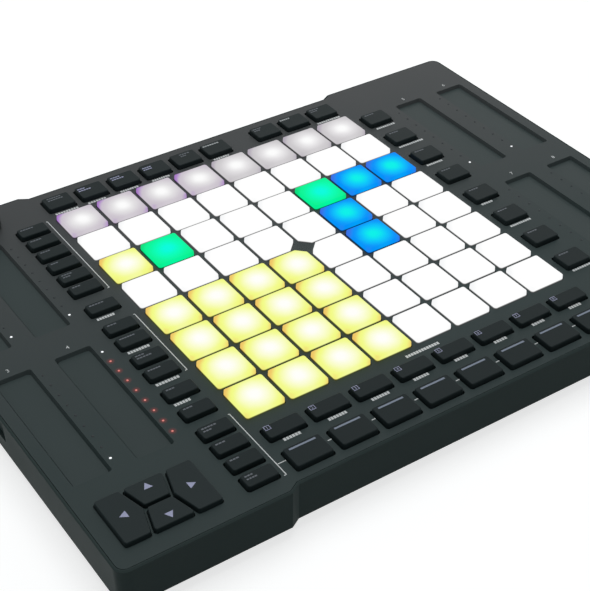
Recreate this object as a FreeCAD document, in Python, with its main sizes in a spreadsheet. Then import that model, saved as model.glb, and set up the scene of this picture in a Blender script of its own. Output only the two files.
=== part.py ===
import FreeCAD, Part
import math
import os
import Sketcher

# Desk-top midi pad controller with an 8 by 8 grid of lit pads, rows of keys round it,
# eight touch strips, a display and a push dial. Millimetres, +Z up, +Y to the rear.
# The origin is on the desk under the middle of the body.

doc = FreeCAD.newDocument("pad_controller")
sheet = doc.addObject("Spreadsheet::Sheet", "Sizes")

# Driving dimensions: alias, value, what it is

SIZES = [
    ("body_width", 402, "width of the body"),
    ("body_depth", 290, "depth of the body over its wings"),
    ("body_corner", 6, "radius of the four outer corners, seen from above"),
    ("wing_step", 3.2, "how far the middle of the front and rear sits back from the wings"),
    ("step_inner", 105.5, "half length of the set-back middle"),
    ("step_outer", 111, "where the wings reach full depth"),
    ("side_lean", 1, "how far the side walls lean in at their foot"),
    ("frame_bottom", 7, "height of the frame's lower edge"),
    ("panel_top", 30, "height of the panel's face"),
    ("panel_thick", 3, "thickness of the panel"),
    ("wall_thick", 2.6, "thickness of the frame's walls"),
    ("rim_width", 1.2, "frame rim beside the panel"),
    ("rim_groove", 0.3, "gap between rim and panel"),
    ("rim_bevel", 0.8, "bevel on the frame's top edge"),
    ("ledge_width", 3, "ledge that carries the panel"),
    ("ledge_thick", 2, "thickness of that ledge"),
    ("fit_gap", 0.1, "gap between fixed pieces"),
    ("grip_length", 55, "recess in each side wall, length"),
    ("grip_bottom", 15.8, "recess in each side wall, lower edge"),
    ("grip_top", 28.6, "recess in each side wall, upper edge"),
    ("grip_depth", 2.4, "recess in each side wall, depth"),
    ("floor_bottom", 2, "underside of the bottom case"),
    ("floor_thick", 2.6, "thickness of the bottom case"),
    ("floor_inset", 9, "how far the bottom case tapers in"),
    ("lip_height", 3, "locating lip of the bottom case, height"),
    ("lip_thick", 1.6, "locating lip of the bottom case, thickness"),
    ("foot_radius", 8, "rubber foot, radius"),
    ("foot_height", 3.2, "rubber foot, height"),
    ("foot_x", 165, "rubber foot, distance from the middle"),
    ("foot_y", 110, "rubber foot, distance from the middle"),
    ("pad_pitch", 26, "distance from pad to pad"),
    ("pad_count", 8, "pads in a row, and rows"),
    ("grid_y", 10, "middle of the pad grid"),
    ("pad_width", 22.6, "pad, width where it leaves the panel"),
    ("pad_corner", 1.5, "pad, corner radius"),
    ("pad_rise", 3, "pad, height above the panel"),
    ("pad_taper", 3.8, "pad, lean of its sides in degrees"),
    ("pad_gap", 0.35, "gap round a pad in its opening"),
    ("pad_round", 0.4, "pad, rounding of its top edge"),
    ("diamond_reach", 9.1, "reach of the diamond between the four middle pads"),
    ("key_rise", 2.6, "key, height above the panel"),
    ("key_taper", 5, "key, lean of its sides in degrees"),
    ("key_corner", 1.6, "key, corner radius"),
    ("key_round", 0.6, "key, rounding of its top edge"),
    ("key_gap", 0.7, "gap round a key in its opening"),
    ("flange_rim", 1, "flange round a pad or key under the panel"),
    ("flange_thick", 1.5, "thickness of that flange"),
    ("flange_drop", 0.3, "gap between panel and flange at rest"),
    ("press_travel", 1.2, "travel of a pad or key"),
    ("press_rest", 0.3, "gap left under a pressed pad or key"),
    ("key_width", 17, "key of the rear row and the right column, width"),
    ("key_depth", 13, "key of the rear row and the right column, depth"),
    ("top_key_pitch", 21.5, "rear row, pitch"),
    ("top_key_y", 126.1, "rear row, place"),
    ("top_left_x", -93.5, "rear row, first key of the left six"),
    ("top_right_x", 50.5, "rear row, first key of the right three"),
    ("scene_key_x", 118.3, "right column, place"),
    ("scene_key_y", -81.2, "right column, front key"),
    ("left_key_width", 17.3, "left column, key width"),
    ("left_key_depth", 9, "left column, key depth"),
    ("left_key_x", -119, "left column, place"),
    ("left_key_pitch", 12.8, "left column, pitch inside a group"),
    ("left_pair_pitch", 13.2, "left column, pitch inside a pair"),
    ("left_back_y", 43.25, "left column, front key of the rear six"),
    ("left_upper_y", 23.75, "left column, single key behind the pairs"),
    ("left_pair_back_y", -9.55, "left column, front key of the rear pair"),
    ("left_pair_front_y", -39.25, "left column, front key of the front pair"),
    ("left_lower_back_y", -57.2, "left column, rear one of two single keys"),
    ("left_lower_front_y", -73.8, "left column, front one of two single keys"),
    ("left_front_y", -129.2, "left column, front key of the front four"),
    ("track_width", 21, "track keys, width"),
    ("select_depth", 9.5, "track select keys, depth"),
    ("select_y", -107.3, "track select keys, place"),
    ("control_depth", 14.1, "track control keys, depth"),
    ("control_y", -127.9, "track control keys, place"),
    ("cluster_x", 165.5, "arrow and transport keys, distance from the middle"),
    ("cluster_y", -117.5, "arrow and transport keys, place"),
    ("cluster_half_width", 25.3, "arrow keys, half width of the cluster"),
    ("cluster_half_depth", 15.4, "arrow keys, half depth of the cluster"),
    ("arrow_waist", 8, "arrow keys, point of a side key from the middle"),
    ("arrow_shoulder", 12.2, "arrow keys, inner corner of a side key from the middle"),
    ("arrow_web", 1.6, "gap between arrow keys"),
    ("arrow_gap", 0.3, "gap round an arrow or transport key in its opening"),
    ("arrow_flange", 0.6, "flange round an arrow or transport key under the panel"),
    ("transport_width", 15.3, "transport key, width"),
    ("transport_depth", 20, "transport key, depth"),
    ("transport_pitch", 17.2, "transport key, pitch"),
    ("strip_width", 20.4, "touch strip well, width"),
    ("strip_length", 86.9, "touch strip well, length"),
    ("strip_corner", 1.5, "touch strip well, corner radius"),
    ("strip_taper", 24, "touch strip well, lean of its walls in degrees"),
    ("strip_outer_x", 182.6, "outer touch strips, distance from the middle"),
    ("strip_pitch", 33.4, "from an outer to an inner touch strip"),
    ("strip_rear_y", 64.55, "rear touch strips, place"),
    ("strip_row_pitch", 107.8, "from the rear to the front touch strips"),
    ("strip_plate_thick", 1.2, "touch strip plate, thickness"),
    ("strip_face_width", 17.4, "raised face of a touch strip at its foot, width"),
    ("strip_face_length", 83.9, "raised face of a touch strip at its foot, length"),
    ("strip_face_rise", 1, "raised face of a touch strip, height over the plate"),
    ("led_count", 9, "indicator lights beside a strip"),
    ("led_pitch", 8.885, "pitch of those lights"),
    ("led_side", 13.1, "from the middle of a strip to its lights"),
    ("led_rear_shift", -35.85, "from the middle of a strip to its front light"),
    ("led_radius", 0.6, "light pipe, radius"),
    ("led_hole", 0.65, "light pipe hole, radius"),
    ("board_top", 21.6, "height of the circuit boards' upper face"),
    ("board_thick", 1.6, "thickness of the circuit boards"),
    ("board_half_width", 102.5, "centre board, half width"),
    ("board_front", -137, "front edge of the centre and side boards"),
    ("board_rear", 136, "rear edge of the centre board"),
    ("side_board_inner", 109.6, "side boards, inner edge"),
    ("side_board_outer", 194, "side boards, outer edge"),
    ("side_board_rear", 120, "side boards, rear edge"),
    ("screw_grid", 78, "centre board screws, pitch"),
    ("side_screw_x", 150, "side board screws, distance from the middle"),
    ("side_screw_y", 73, "side board screws, distance from the middle"),
    ("screw_head", 1.8, "board screw, head radius"),
    ("screw_head_height", 1.2, "board screw, head height"),
    ("screw_shank", 1, "board screw, shank radius"),
    ("screw_length", 7, "board screw, shank length"),
    ("hole_gap", 0.15, "radial gap round a screw shank"),
    ("standoff_radius", 3, "standoff, radius"),
    ("post_radius", 2.6, "screw post under the panel, radius"),
    ("post_bottom", 10, "screw post under the panel, lower end"),
    ("boss_radius", 5, "boss of the bottom case, radius"),
    ("case_head", 2.8, "case screw, head radius"),
    ("case_head_height", 1.8, "case screw, head height"),
    ("case_head_base", 3.4, "case screw, height of the head's underside"),
    ("case_shank", 1.2, "case screw, shank radius"),
    ("case_screw_length", 15, "case screw, shank length"),
    ("pad_light_width", 5, "pad light, width"),
    ("pad_light_height", 1.6, "pad light, height"),
    ("window_width", 9, "membrane window over a pad light"),
    ("display_x", -172, "display, place"),
    ("display_y", 127, "display, place"),
    ("display_width", 40, "display window, width"),
    ("display_depth", 20, "display window, depth"),
    ("display_thick", 1.2, "display window, thickness"),
    ("dial_x", -138, "dial, place"),
    ("dial_y", 126, "dial, place"),
    ("dial_radius", 7.5, "dial, radius"),
    ("dial_height", 12.5, "dial, height"),
    ("dial_bottom", 31, "dial, height of its lower edge"),
    ("dial_travel", 0.5, "dial, travel when pressed"),
    ("shaft_radius", 3, "dial shaft, radius"),
    ("bushing_radius", 3.5, "encoder bushing, outer radius"),
    ("bushing_top", 32.6, "encoder bushing, top"),
    ("encoder_width", 12, "encoder, width of its case"),
    ("encoder_top", 26.5, "encoder, top of its case"),
    ("plate_left", 118, "connector plate, left edge"),
    ("plate_right", 190, "connector plate, right edge"),
    ("plate_top", 25, "connector plate, upper edge"),
    ("socket_z", 16.7, "midi sockets, height of their middle"),
    ("midi_in_x", 130, "midi in socket, place"),
    ("midi_out_x", 152, "midi out socket, place"),
    ("insert_radius", 6.3, "midi socket insert, radius"),
    ("insert_length", 8, "midi socket insert, length"),
    ("usb_x", 177, "usb socket, place"),
    ("usb_width", 8.94, "usb socket, width"),
    ("usb_height", 3.26, "usb socket, height"),
    ("io_board_bottom", 7, "connector board, underside"),
]

for row, (alias, value, words) in enumerate(SIZES, start=1):
    sheet.set("A%d" % row, words)
    sheet.set("B%d" % row, str(value))
    sheet.setAlias("B%d" % row, alias)
doc.recompute()


class Formula:
    """A size worked out from the sheet: its value now and its expression."""

    def __init__(self, value, text):
        self.value = value
        self.text = text

    def __float__(self):
        return float(self.value)

    def __neg__(self):
        return Formula(-self.value, "(0 - %s)" % self.text)

    def __add__(self, other):
        return Formula(self.value + float(other), "(%s + %s)" % (self.text, expression(other)))

    def __radd__(self, other):
        return Formula(float(other) + self.value, "(%s + %s)" % (expression(other), self.text))

    def __sub__(self, other):
        return Formula(self.value - float(other), "(%s - %s)" % (self.text, expression(other)))

    def __rsub__(self, other):
        return Formula(float(other) - self.value, "(%s - %s)" % (expression(other), self.text))

    def __mul__(self, other):
        return Formula(self.value * float(other), "(%s * %s)" % (self.text, expression(other)))

    def __rmul__(self, other):
        return Formula(float(other) * self.value, "(%s * %s)" % (expression(other), self.text))

    def __truediv__(self, other):
        return Formula(self.value / float(other), "(%s / %s)" % (self.text, expression(other)))


def expression(value):
    """The text that a property is bound with, for a formula or a plain number."""
    if isinstance(value, Formula):
        return value.text
    return "(%s)" % value


class Sizes:
    """One formula for each alias of the sheet."""


size = Sizes()
for alias, value, words in SIZES:
    setattr(size, alias, Formula(value, "Sizes." + alias))


# Heights that follow from the driving dimensions

PANEL_UNDER = size.panel_top - size.panel_thick
FLANGE_TOP = PANEL_UNDER - size.flange_drop
FLANGE_BOTTOM = FLANGE_TOP - size.flange_thick
MAT_THICK = FLANGE_BOTTOM - size.press_travel - size.press_rest - size.board_top
BOARD_UNDER = size.board_top - size.board_thick
FLOOR_TOP = size.floor_bottom + size.floor_thick
PIPE_BOTTOM = size.board_top + 1
PANEL_INSET = size.rim_width + size.rim_groove
STRIP_FRONT_Y = size.strip_rear_y - size.strip_row_pitch


# Small helpers for bodies, sketches and features

def new_body(name):
    body = doc.addObject("PartDesign::Body", name)
    body.Label = name
    body.AllowCompound = True
    return body


def origin_part(body, role):
    return [part for part in body.Origin.OriginFeatures if part.Role == role][0]


def new_sketch(body, name, x=0, y=0, z=0, plane="XY_Plane"):
    """A sketch on one of the body's own origin planes, moved off it by formulas."""
    sketch = body.newObject("Sketcher::SketchObject", name)
    sketch.AttachmentSupport = [(origin_part(body, plane), "")]
    sketch.MapMode = "FlatFace"
    sketch.setExpression("AttachmentOffset.Base.x", expression(x))
    sketch.setExpression("AttachmentOffset.Base.y", expression(y))
    sketch.setExpression("AttachmentOffset.Base.z", expression(z))
    return sketch


def bind(sketch, constraint, text):
    index = sketch.addConstraint(constraint)
    sketch.setExpression("Constraints[%d]" % index, expression(text))


def add_circle(sketch, radius, x=0, y=0):
    centre = FreeCAD.Vector(float(x), float(y), 0)
    circle = Part.Circle(centre, FreeCAD.Vector(0, 0, 1), float(radius))
    return sketch.addGeometry(circle, False)


def draw_circle(sketch, radius, x=0, y=0):
    """A circle with its radius bound to the sheet; x and y place it in the sketch."""
    index = add_circle(sketch, radius, x, y)
    bind(sketch, Sketcher.Constraint("Radius", index, float(radius)), radius)
    sketch.addConstraint(Sketcher.Constraint("Block", index))


def draw_rectangle(sketch, width, depth, corner):
    """A rounded rectangle about the sketch's origin, bound to the sheet."""
    half_width = float(width) / 2
    half_depth = float(depth) / 2
    radius = float(corner)
    start = sketch.GeometryCount
    corners = [(half_width, -half_depth), (half_width, half_depth),
               (-half_width, half_depth), (-half_width, -half_depth)]
    draw_loop(sketch, corners, radius)
    sides = [start, start + 2, start + 4, start + 6]
    arcs = [start + 1, start + 3, start + 5, start + 7]
    for index in range(4):
        following = sides[(index + 1) % 4]
        sketch.addConstraint(Sketcher.Constraint("Tangent", sides[index], 2, arcs[index], 1))
        sketch.addConstraint(Sketcher.Constraint("Tangent", arcs[index], 2, following, 1))
    for index in (0, 2):
        sketch.addConstraint(Sketcher.Constraint("Vertical", sides[index]))
    for index in (1, 3):
        sketch.addConstraint(Sketcher.Constraint("Horizontal", sides[index]))
    for index in range(3):
        sketch.addConstraint(Sketcher.Constraint("Equal", arcs[index], arcs[index + 1]))
    sketch.addConstraint(Sketcher.Constraint("Symmetric", arcs[0], 3, arcs[2], 3, -1, 1))
    bind(sketch, Sketcher.Constraint("Radius", arcs[0], radius), corner)
    across = Sketcher.Constraint("DistanceX", sides[2], 1, sides[0], 1, 2 * half_width)
    along = Sketcher.Constraint("DistanceY", sides[3], 1, sides[1], 1, 2 * half_depth)
    bind(sketch, across, width)
    bind(sketch, along, depth)


def draw_opening(sketch, x, y, width, depth, corner, clipped=None):
    """A rounded rectangle about a place in the sketch.

    clipped gives the signs of one corner, which is cut off along the diamond between the
    four middle pads.
    """
    x = float(x)
    y = float(y)
    half_width = float(width) / 2
    half_depth = float(depth) / 2
    points = []
    radii = []
    for side_x, side_y in ((1, -1), (1, 1), (-1, 1), (-1, -1)):
        if clipped != (side_x, side_y):
            points.append((x + side_x * half_width, y + side_y * half_depth))
            radii.append(float(corner))
            continue
        reach = float(size.diamond_reach - size.pad_gap * 1.414)
        inner = float(size.pad_pitch) / 2 - half_width
        across = (x + side_x * half_width, y - side_y * (reach - inner - float(size.pad_pitch) / 2))
        along = (x - side_x * (reach - inner - float(size.pad_pitch) / 2), y + side_y * half_depth)
        points.extend([across, along] if side_x * side_y > 0 else [along, across])
        radii.extend([0.0, 0.0])
    draw_loop(sketch, points, radii)


def draw_loop(sketch, points, radius=0.0):
    """A closed outline through the points, in order and counter-clockwise.

    radius is one value, or one for each point; a point with no radius stays sharp.
    The sides and the arcs are added in turn, beginning with the side after the first point.
    """
    count = len(points)
    radii = list(radius) if isinstance(radius, (list, tuple)) else [radius] * count
    corners = [FreeCAD.Vector(x, y, 0) for x, y in points]
    entries = []
    exits = []
    corner_arcs = []
    for index, corner in enumerate(corners):
        to_last = (corners[index - 1] - corner).normalize()
        to_next = (corners[(index + 1) % count] - corner).normalize()
        half_angle = to_last.getAngle(to_next) / 2
        cut = radii[index] / math.tan(half_angle)
        entries.append(corner + to_last * cut)
        exits.append(corner + to_next * cut)
        if radii[index] > 0:
            bisector = (to_last + to_next).normalize()
            centre = corner + bisector * (radii[index] / math.sin(half_angle))
            middle = centre - bisector * radii[index]
            corner_arcs.append(Part.Arc(entries[index], middle, exits[index]))
        else:
            corner_arcs.append(None)
    for index in range(count):
        after = (index + 1) % count
        sketch.addGeometry(Part.LineSegment(exits[index], entries[after]), False)
        if corner_arcs[after] is not None:
            sketch.addGeometry(corner_arcs[after], False)


def extrude(body, sketch, length, down=False, taper=0):
    feature = body.newObject("PartDesign::Pad", sketch.Name + "_solid")
    feature.Profile = sketch
    feature.Reversed = down
    feature.setExpression("Length", expression(length))
    feature.setExpression("TaperAngle", expression(-taper))
    finish(body, feature)
    return feature


def pocket(body, sketch, length, up=False, taper=0):
    """A cut from the sketch downwards, or upwards, checked to take something away."""
    before = body.Shape.Volume
    feature = body.newObject("PartDesign::Pocket", sketch.Name + "_cut")
    feature.Profile = sketch
    feature.Reversed = up
    feature.setExpression("Length", expression(length))
    feature.setExpression("TaperAngle", expression(-taper))
    finish(body, feature)
    if not body.Shape.Volume < before:
        raise RuntimeError("nothing cut by " + feature.Name)
    return feature


def finish(body, feature):
    if hasattr(feature, "Refine"):
        feature.Refine = False
    body.Tip = feature
    doc.recompute()


def repeat(body, axis, count, pitch):
    """Copies all of the body along its own X or Y axis."""
    if float(count) < 2:
        return
    pattern = body.newObject("PartDesign::LinearPattern", body.Name + "_pattern")
    pattern.TransformMode = "Whole shape"
    pattern.Direction = (origin_part(body, axis + "_Axis"), [""])
    pattern.Mode = "Spacing"
    pattern.setExpression("Occurrences", expression(count))
    pattern.setExpression("Offset", expression(pitch))
    finish(body, pattern)


def round_top(body, radius):
    """Rounds every edge that lies in the body's top plane."""
    base = body.Tip
    top = base.Shape.BoundBox.ZMax
    names = []
    for index, edge in enumerate(base.Shape.Edges, start=1):
        if all(abs(vertex.Z - top) < 1e-4 for vertex in edge.Vertexes):
            names.append("Edge%d" % index)
    fillet = body.newObject("PartDesign::Fillet", body.Name + "_rounding")
    fillet.Base = (base, names)
    fillet.setExpression("Radius", expression(radius))
    finish(body, fillet)


def place(body, x=0, y=0, z=0):
    body.setExpression("Placement.Base.x", expression(x))
    body.setExpression("Placement.Base.y", expression(y))
    body.setExpression("Placement.Base.z", expression(z))
    doc.recompute()


def offset_points(points, distance):
    """The outline moved inwards by distance; its points run counter-clockwise."""
    moved = []
    count = len(points)
    for index, (x, y) in enumerate(points):
        last_x, last_y = points[index - 1]
        next_x, next_y = points[(index + 1) % count]
        first = FreeCAD.Vector(x - last_x, y - last_y, 0).normalize()
        second = FreeCAD.Vector(next_x - x, next_y - y, 0).normalize()
        first_normal = FreeCAD.Vector(-first.y, first.x, 0)
        second_normal = FreeCAD.Vector(-second.y, second.x, 0)
        bisector = (first_normal + second_normal).normalize()
        reach = distance / bisector.dot(first_normal)
        moved.append((x + bisector.x * reach, y + bisector.y * reach))
    return moved


# Outline of the body, seen from above

def body_points(lean=0.0):
    """Twelve corners, counter-clockwise from the front left; lean narrows the sides."""
    side = float(size.body_width) / 2 - lean
    wing = float(size.body_depth) / 2
    middle = wing - float(size.wing_step)
    inner = float(size.step_inner)
    outer = float(size.step_outer)
    front = [(-side, -wing), (-outer, -wing), (-inner, -middle),
             (inner, -middle), (outer, -wing), (side, -wing)]
    rear = [(-x, -y) for x, y in front]
    return front + rear


def draw_body_outline(sketch, inset=0, lean=0):
    distance = float(inset)
    corner = max(float(size.body_corner) - distance, 0.8)
    points = offset_points(body_points(float(lean)), distance)
    radii = [0.0] * len(points)
    for index in (0, 5, 6, 11):
        radii[index] = corner
    draw_loop(sketch, points, radii)


# Top panel: moulded plate with an opening for each pad, key, strip, light and dial

def arrow_outlines():
    """Outline of each arrow key about the middle of the cluster, as a pair of names."""
    wide = float(size.cluster_half_width)
    deep = float(size.cluster_half_depth)
    waist = float(size.arrow_waist)
    shoulder = float(size.arrow_shoulder)
    web = float(size.arrow_web)
    right = [(waist, 0), (shoulder, -deep), (wide, -deep), (wide, deep), (shoulder, deep)]
    slope = (shoulder - waist) / deep
    low = web / 2
    top_half = shoulder - web
    low_half = top_half - slope * (deep - low)
    rear = [(-low_half, low), (low_half, low), (top_half, deep), (-top_half, deep)]
    left = [(-x, -y) for x, y in right]
    front = [(-x, -y) for x, y in rear]
    return {"arrow_right_key": right, "arrow_left_key": left,
            "arrow_up_key": rear, "arrow_down_key": front}


# Screw posts: their places, the same left and right
POSTS = [(105.8, 10), (164.5, 11.3), (134.4, -115), (110.5, 128)]
POST_PLACES = [(side * x, y) for x, y in POSTS for side in (-1, 1)]


def spread(first, count, pitch):
    """Places in a row: the first one, how many, and how far apart."""
    return [float(first) + step * float(pitch) for step in range(int(float(count)))]


def strip_places():
    """Middle of each of the eight touch strips."""
    left = spread(-size.strip_outer_x, 2, size.strip_pitch)
    right = spread(size.strip_outer_x - size.strip_pitch, 2, size.strip_pitch)
    rows = spread(STRIP_FRONT_Y, 2, size.strip_row_pitch)
    return [(x, y) for x in left + right for y in rows]


def build_top_panel():
    body = new_body("top_panel")
    plate = new_sketch(body, "panel_outline", z=PANEL_UNDER)
    draw_body_outline(plate, PANEL_INSET)

    pad_hole = size.pad_width + 2 * size.pad_gap
    half_pitch = float(size.pad_pitch) / 2
    columns = spread(-size.pad_pitch * 3.5, size.pad_count, size.pad_pitch)
    for x in columns:
        for y in columns:
            middle = abs(x) <= half_pitch and abs(y) <= half_pitch
            clipped = (1 if x < 0 else -1, 1 if y < 0 else -1) if middle else None
            draw_opening(plate, x, size.grid_y + y, pad_hole, pad_hole, size.pad_corner, clipped)

    groups = list(KEY_GROUPS)
    groups.append(key_group("transport", size.cluster_x - size.transport_pitch, size.cluster_y,
                            size.transport_width, size.transport_depth, 3, size.transport_pitch,
                            gap=size.arrow_gap))
    for key in groups:
        for x in spread(key["x"], key["count_x"], key["pitch_x"]):
            for y in spread(key["y"], key["count_y"], key["pitch_y"]):
                draw_opening(plate, x, y, key["width"] + 2 * key["gap"],
                             key["depth"] + 2 * key["gap"], size.key_corner)
    for points in arrow_outlines().values():
        opening = offset_points(points, -float(size.arrow_gap))
        shifted = [(x - float(size.cluster_x), y + float(size.cluster_y)) for x, y in opening]
        draw_loop(plate, shifted, float(size.key_corner))

    draw_opening(plate, size.display_x, size.display_y, size.display_width + 0.4,
                 size.display_depth + 0.4, 1)
    add_circle(plate, size.bushing_radius + 0.2, size.dial_x, size.dial_y)
    for x, y in strip_places():
        side = 1 if x < 0 else -1
        for light_y in spread(y + float(size.led_rear_shift), size.led_count, size.led_pitch):
            add_circle(plate, size.led_hole, x + side * float(size.led_side), light_y)
    extrude(body, plate, size.panel_thick)

    wells = new_sketch(body, "strip_wells", z=size.panel_top)
    for x, y in strip_places():
        draw_opening(wells, x, y, size.strip_width, size.strip_length, size.strip_corner)
    pocket(body, wells, size.panel_thick, taper=size.strip_taper)

    posts = new_sketch(body, "panel_posts", z=PANEL_UNDER)
    pilots = new_sketch(body, "post_pilots", z=size.post_bottom)
    for x, y in POST_PLACES:
        draw_circle(posts, size.post_radius, x, y)
        draw_circle(pilots, size.case_shank + size.hole_gap, x, y)
    extrude(body, posts, PANEL_UNDER - size.post_bottom, down=True)
    pocket(body, pilots, size.case_screw_length, up=True)


# Frame: the wall round the body with the ledge that carries the panel

def build_case_frame():
    body = new_body("case_frame")
    foot = new_sketch(body, "frame_foot", z=size.frame_bottom)
    draw_body_outline(foot, lean=size.side_lean)
    shoulder = new_sketch(body, "frame_shoulder", z=size.panel_top - size.rim_bevel)
    draw_body_outline(shoulder)
    rim = new_sketch(body, "frame_rim", z=size.panel_top)
    draw_body_outline(rim, size.rim_bevel)
    wall = body.newObject("PartDesign::AdditiveLoft", "frame_wall")
    wall.Profile = foot
    wall.Sections = [shoulder, rim]
    wall.Ruled = True
    finish(body, wall)

    seat = new_sketch(body, "panel_seat", z=size.panel_top)
    draw_body_outline(seat, size.rim_width)
    pocket(body, seat, size.panel_thick)
    throat = new_sketch(body, "frame_throat", z=PANEL_UNDER)
    draw_body_outline(throat, size.wall_thick + size.ledge_width)
    pocket(body, throat, size.ledge_thick)
    inside = new_sketch(body, "frame_inside", z=size.frame_bottom)
    draw_body_outline(inside, size.wall_thick, size.side_lean)
    pocket(body, inside, PANEL_UNDER - size.ledge_thick - size.frame_bottom, up=True)

    # A finger scoop in each side wall, which is thicker behind it; the scoop's upper part
    # slopes outwards to spare the rim
    outer = float(size.body_width) / 2
    floor = outer - float(size.grip_depth)
    rim_inside = outer - 0.6
    low = float(size.grip_bottom)
    high = float(size.grip_top)
    bend = float(PANEL_UNDER) - 0.2
    scoop = [(floor, low), (outer + 2, low), (outer + 2, high), (rim_inside, high),
             (rim_inside, bend), (floor, bend - 2.4)]
    mirrored = [(-x, z) for x, z in reversed(scoop)]
    for side, label, points in ((-1, "left", mirrored), (1, "right", scoop)):
        backing = new_sketch(body, label + "_grip_backing",
                             side * (size.body_width / 2 - size.side_lean - size.wall_thick - 1),
                             0, size.post_bottom + 0.5)
        draw_rectangle(backing, 2.4, size.grip_length + 7, 0.5)
        extrude(body, backing, PANEL_UNDER - size.ledge_thick - size.post_bottom - 0.5)
        grip = new_sketch(body, label + "_grip", z=-size.grip_length / 2, plane="XZ_Plane")
        draw_loop(grip, points)
        pocket(body, grip, size.grip_length, up=True)

    notch = new_sketch(body, "plate_notch", (size.plate_left + size.plate_right) / 2,
                       size.body_depth / 2 - size.wall_thick, size.frame_bottom)
    draw_rectangle(notch, size.plate_right - size.plate_left, 4 * size.wall_thick, 0.2)
    pocket(body, notch, size.plate_top - size.frame_bottom, up=True)


# Bottom case: shallow tray with bosses for the case screws and standoffs for the boards

# Places of the connector board's screws
IO_SCREW_PLACES = [(119.5, 122), (165.5, 131)]


def screw_places():
    """Places of the screws that hold the centre board and the two side boards."""
    grid = float(size.screw_grid)
    middle = float(size.grid_y)
    side_x = float(size.side_screw_x)
    side_y = float(size.side_screw_y)
    centre = [(column * grid, middle + row * grid) for column in (-1, 0, 1) for row in (-1, 0, 1)]
    sides = [(column * side_x, middle + row * side_y) for column in (-1, 1) for row in (-1, 1)]
    return centre + sides


def build_bottom_case():
    body = new_body("bottom_case")
    low = new_sketch(body, "tray_low", z=size.floor_bottom)
    draw_body_outline(low, size.floor_inset)
    high = new_sketch(body, "tray_high", z=size.frame_bottom - size.fit_gap)
    draw_body_outline(high, lean=size.side_lean)
    tray = body.newObject("PartDesign::AdditiveLoft", "tray_shell")
    tray.Profile = low
    tray.Sections = [high]
    tray.Ruled = True
    finish(body, tray)
    hollow = new_sketch(body, "tray_hollow", z=FLOOR_TOP)
    draw_body_outline(hollow, size.floor_inset + size.floor_thick)
    pocket(body, hollow, size.frame_bottom - size.floor_bottom, up=True)

    lip = new_sketch(body, "tray_lip", z=size.frame_bottom - size.fit_gap)
    draw_body_outline(lip, size.wall_thick + 0.4, size.side_lean)
    draw_body_outline(lip, size.wall_thick + 0.4 + size.lip_thick, size.side_lean)
    extrude(body, lip, size.lip_height)
    gap = new_sketch(body, "lip_gap", (size.plate_left + size.plate_right) / 2,
                     size.body_depth / 2 - size.wall_thick, size.frame_bottom - size.fit_gap)
    draw_rectangle(gap, size.plate_right - size.plate_left + 8, 20, 1)
    pocket(body, gap, size.lip_height + 1, up=True)

    bosses = new_sketch(body, "screw_bosses", z=FLOOR_TOP)
    bores = new_sketch(body, "boss_bores", z=size.floor_bottom)
    heads = new_sketch(body, "boss_counterbores", z=size.floor_bottom)
    for x, y in POST_PLACES:
        draw_circle(bosses, size.boss_radius, x, y)
        draw_circle(bores, size.case_shank + 0.5, x, y)
        draw_circle(heads, size.case_head + 0.3, x, y)
    extrude(body, bosses, size.post_bottom - size.fit_gap - FLOOR_TOP)
    pocket(body, bores, size.post_bottom, up=True)
    pocket(body, heads, size.case_head_base + size.case_head_height - size.floor_bottom, up=True)

    standoffs = new_sketch(body, "board_standoffs", z=FLOOR_TOP)
    pilots = new_sketch(body, "standoff_pilots", z=BOARD_UNDER)
    for x, y in screw_places():
        draw_circle(standoffs, size.standoff_radius, x, y)
        draw_circle(pilots, size.screw_shank + size.hole_gap, x, y)
    extrude(body, standoffs, BOARD_UNDER - FLOOR_TOP)
    pocket(body, pilots, size.screw_length)

    low_standoffs = new_sketch(body, "io_standoffs", z=FLOOR_TOP)
    low_pilots = new_sketch(body, "io_pilots", z=size.io_board_bottom)
    for x, y in IO_SCREW_PLACES:
        draw_circle(low_standoffs, size.standoff_radius, x, y)
        draw_circle(low_pilots, size.screw_shank + size.hole_gap, x, y)
    extrude(body, low_standoffs, size.io_board_bottom - FLOOR_TOP)
    pocket(body, low_pilots, size.io_board_bottom - size.floor_bottom - 0.8)

    feet = new_sketch(body, "foot_recesses", z=size.floor_bottom)
    for x, y in foot_places():
        draw_circle(feet, size.foot_radius + 0.2, x, y)
    pocket(body, feet, size.foot_height - size.floor_bottom, up=True)


def foot_places():
    foot_x = float(size.foot_x)
    foot_y = float(size.foot_y)
    return [(x, y) for x in (-foot_x, foot_x) for y in (-foot_y, foot_y)]


# Rubber feet and the screws that close the case

def build_rubber_feet():
    body = new_body("rubber_feet")
    sketch = new_sketch(body, "feet")
    for x, y in foot_places():
        draw_circle(sketch, size.foot_radius, x, y)
    extrude(body, sketch, size.foot_height)


def build_case_screws():
    body = new_body("case_screws")
    shanks = new_sketch(body, "case_shanks", z=size.case_head_base)
    heads = new_sketch(body, "case_heads", z=size.case_head_base)
    for x, y in POST_PLACES:
        draw_circle(shanks, size.case_shank, x, y)
        draw_circle(heads, size.case_head, x, y)
    extrude(body, heads, size.case_head_height)
    extrude(body, shanks, size.case_head_height + size.case_screw_length)


# Pads: each row is eight silicone pads with a flange under the panel

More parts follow.
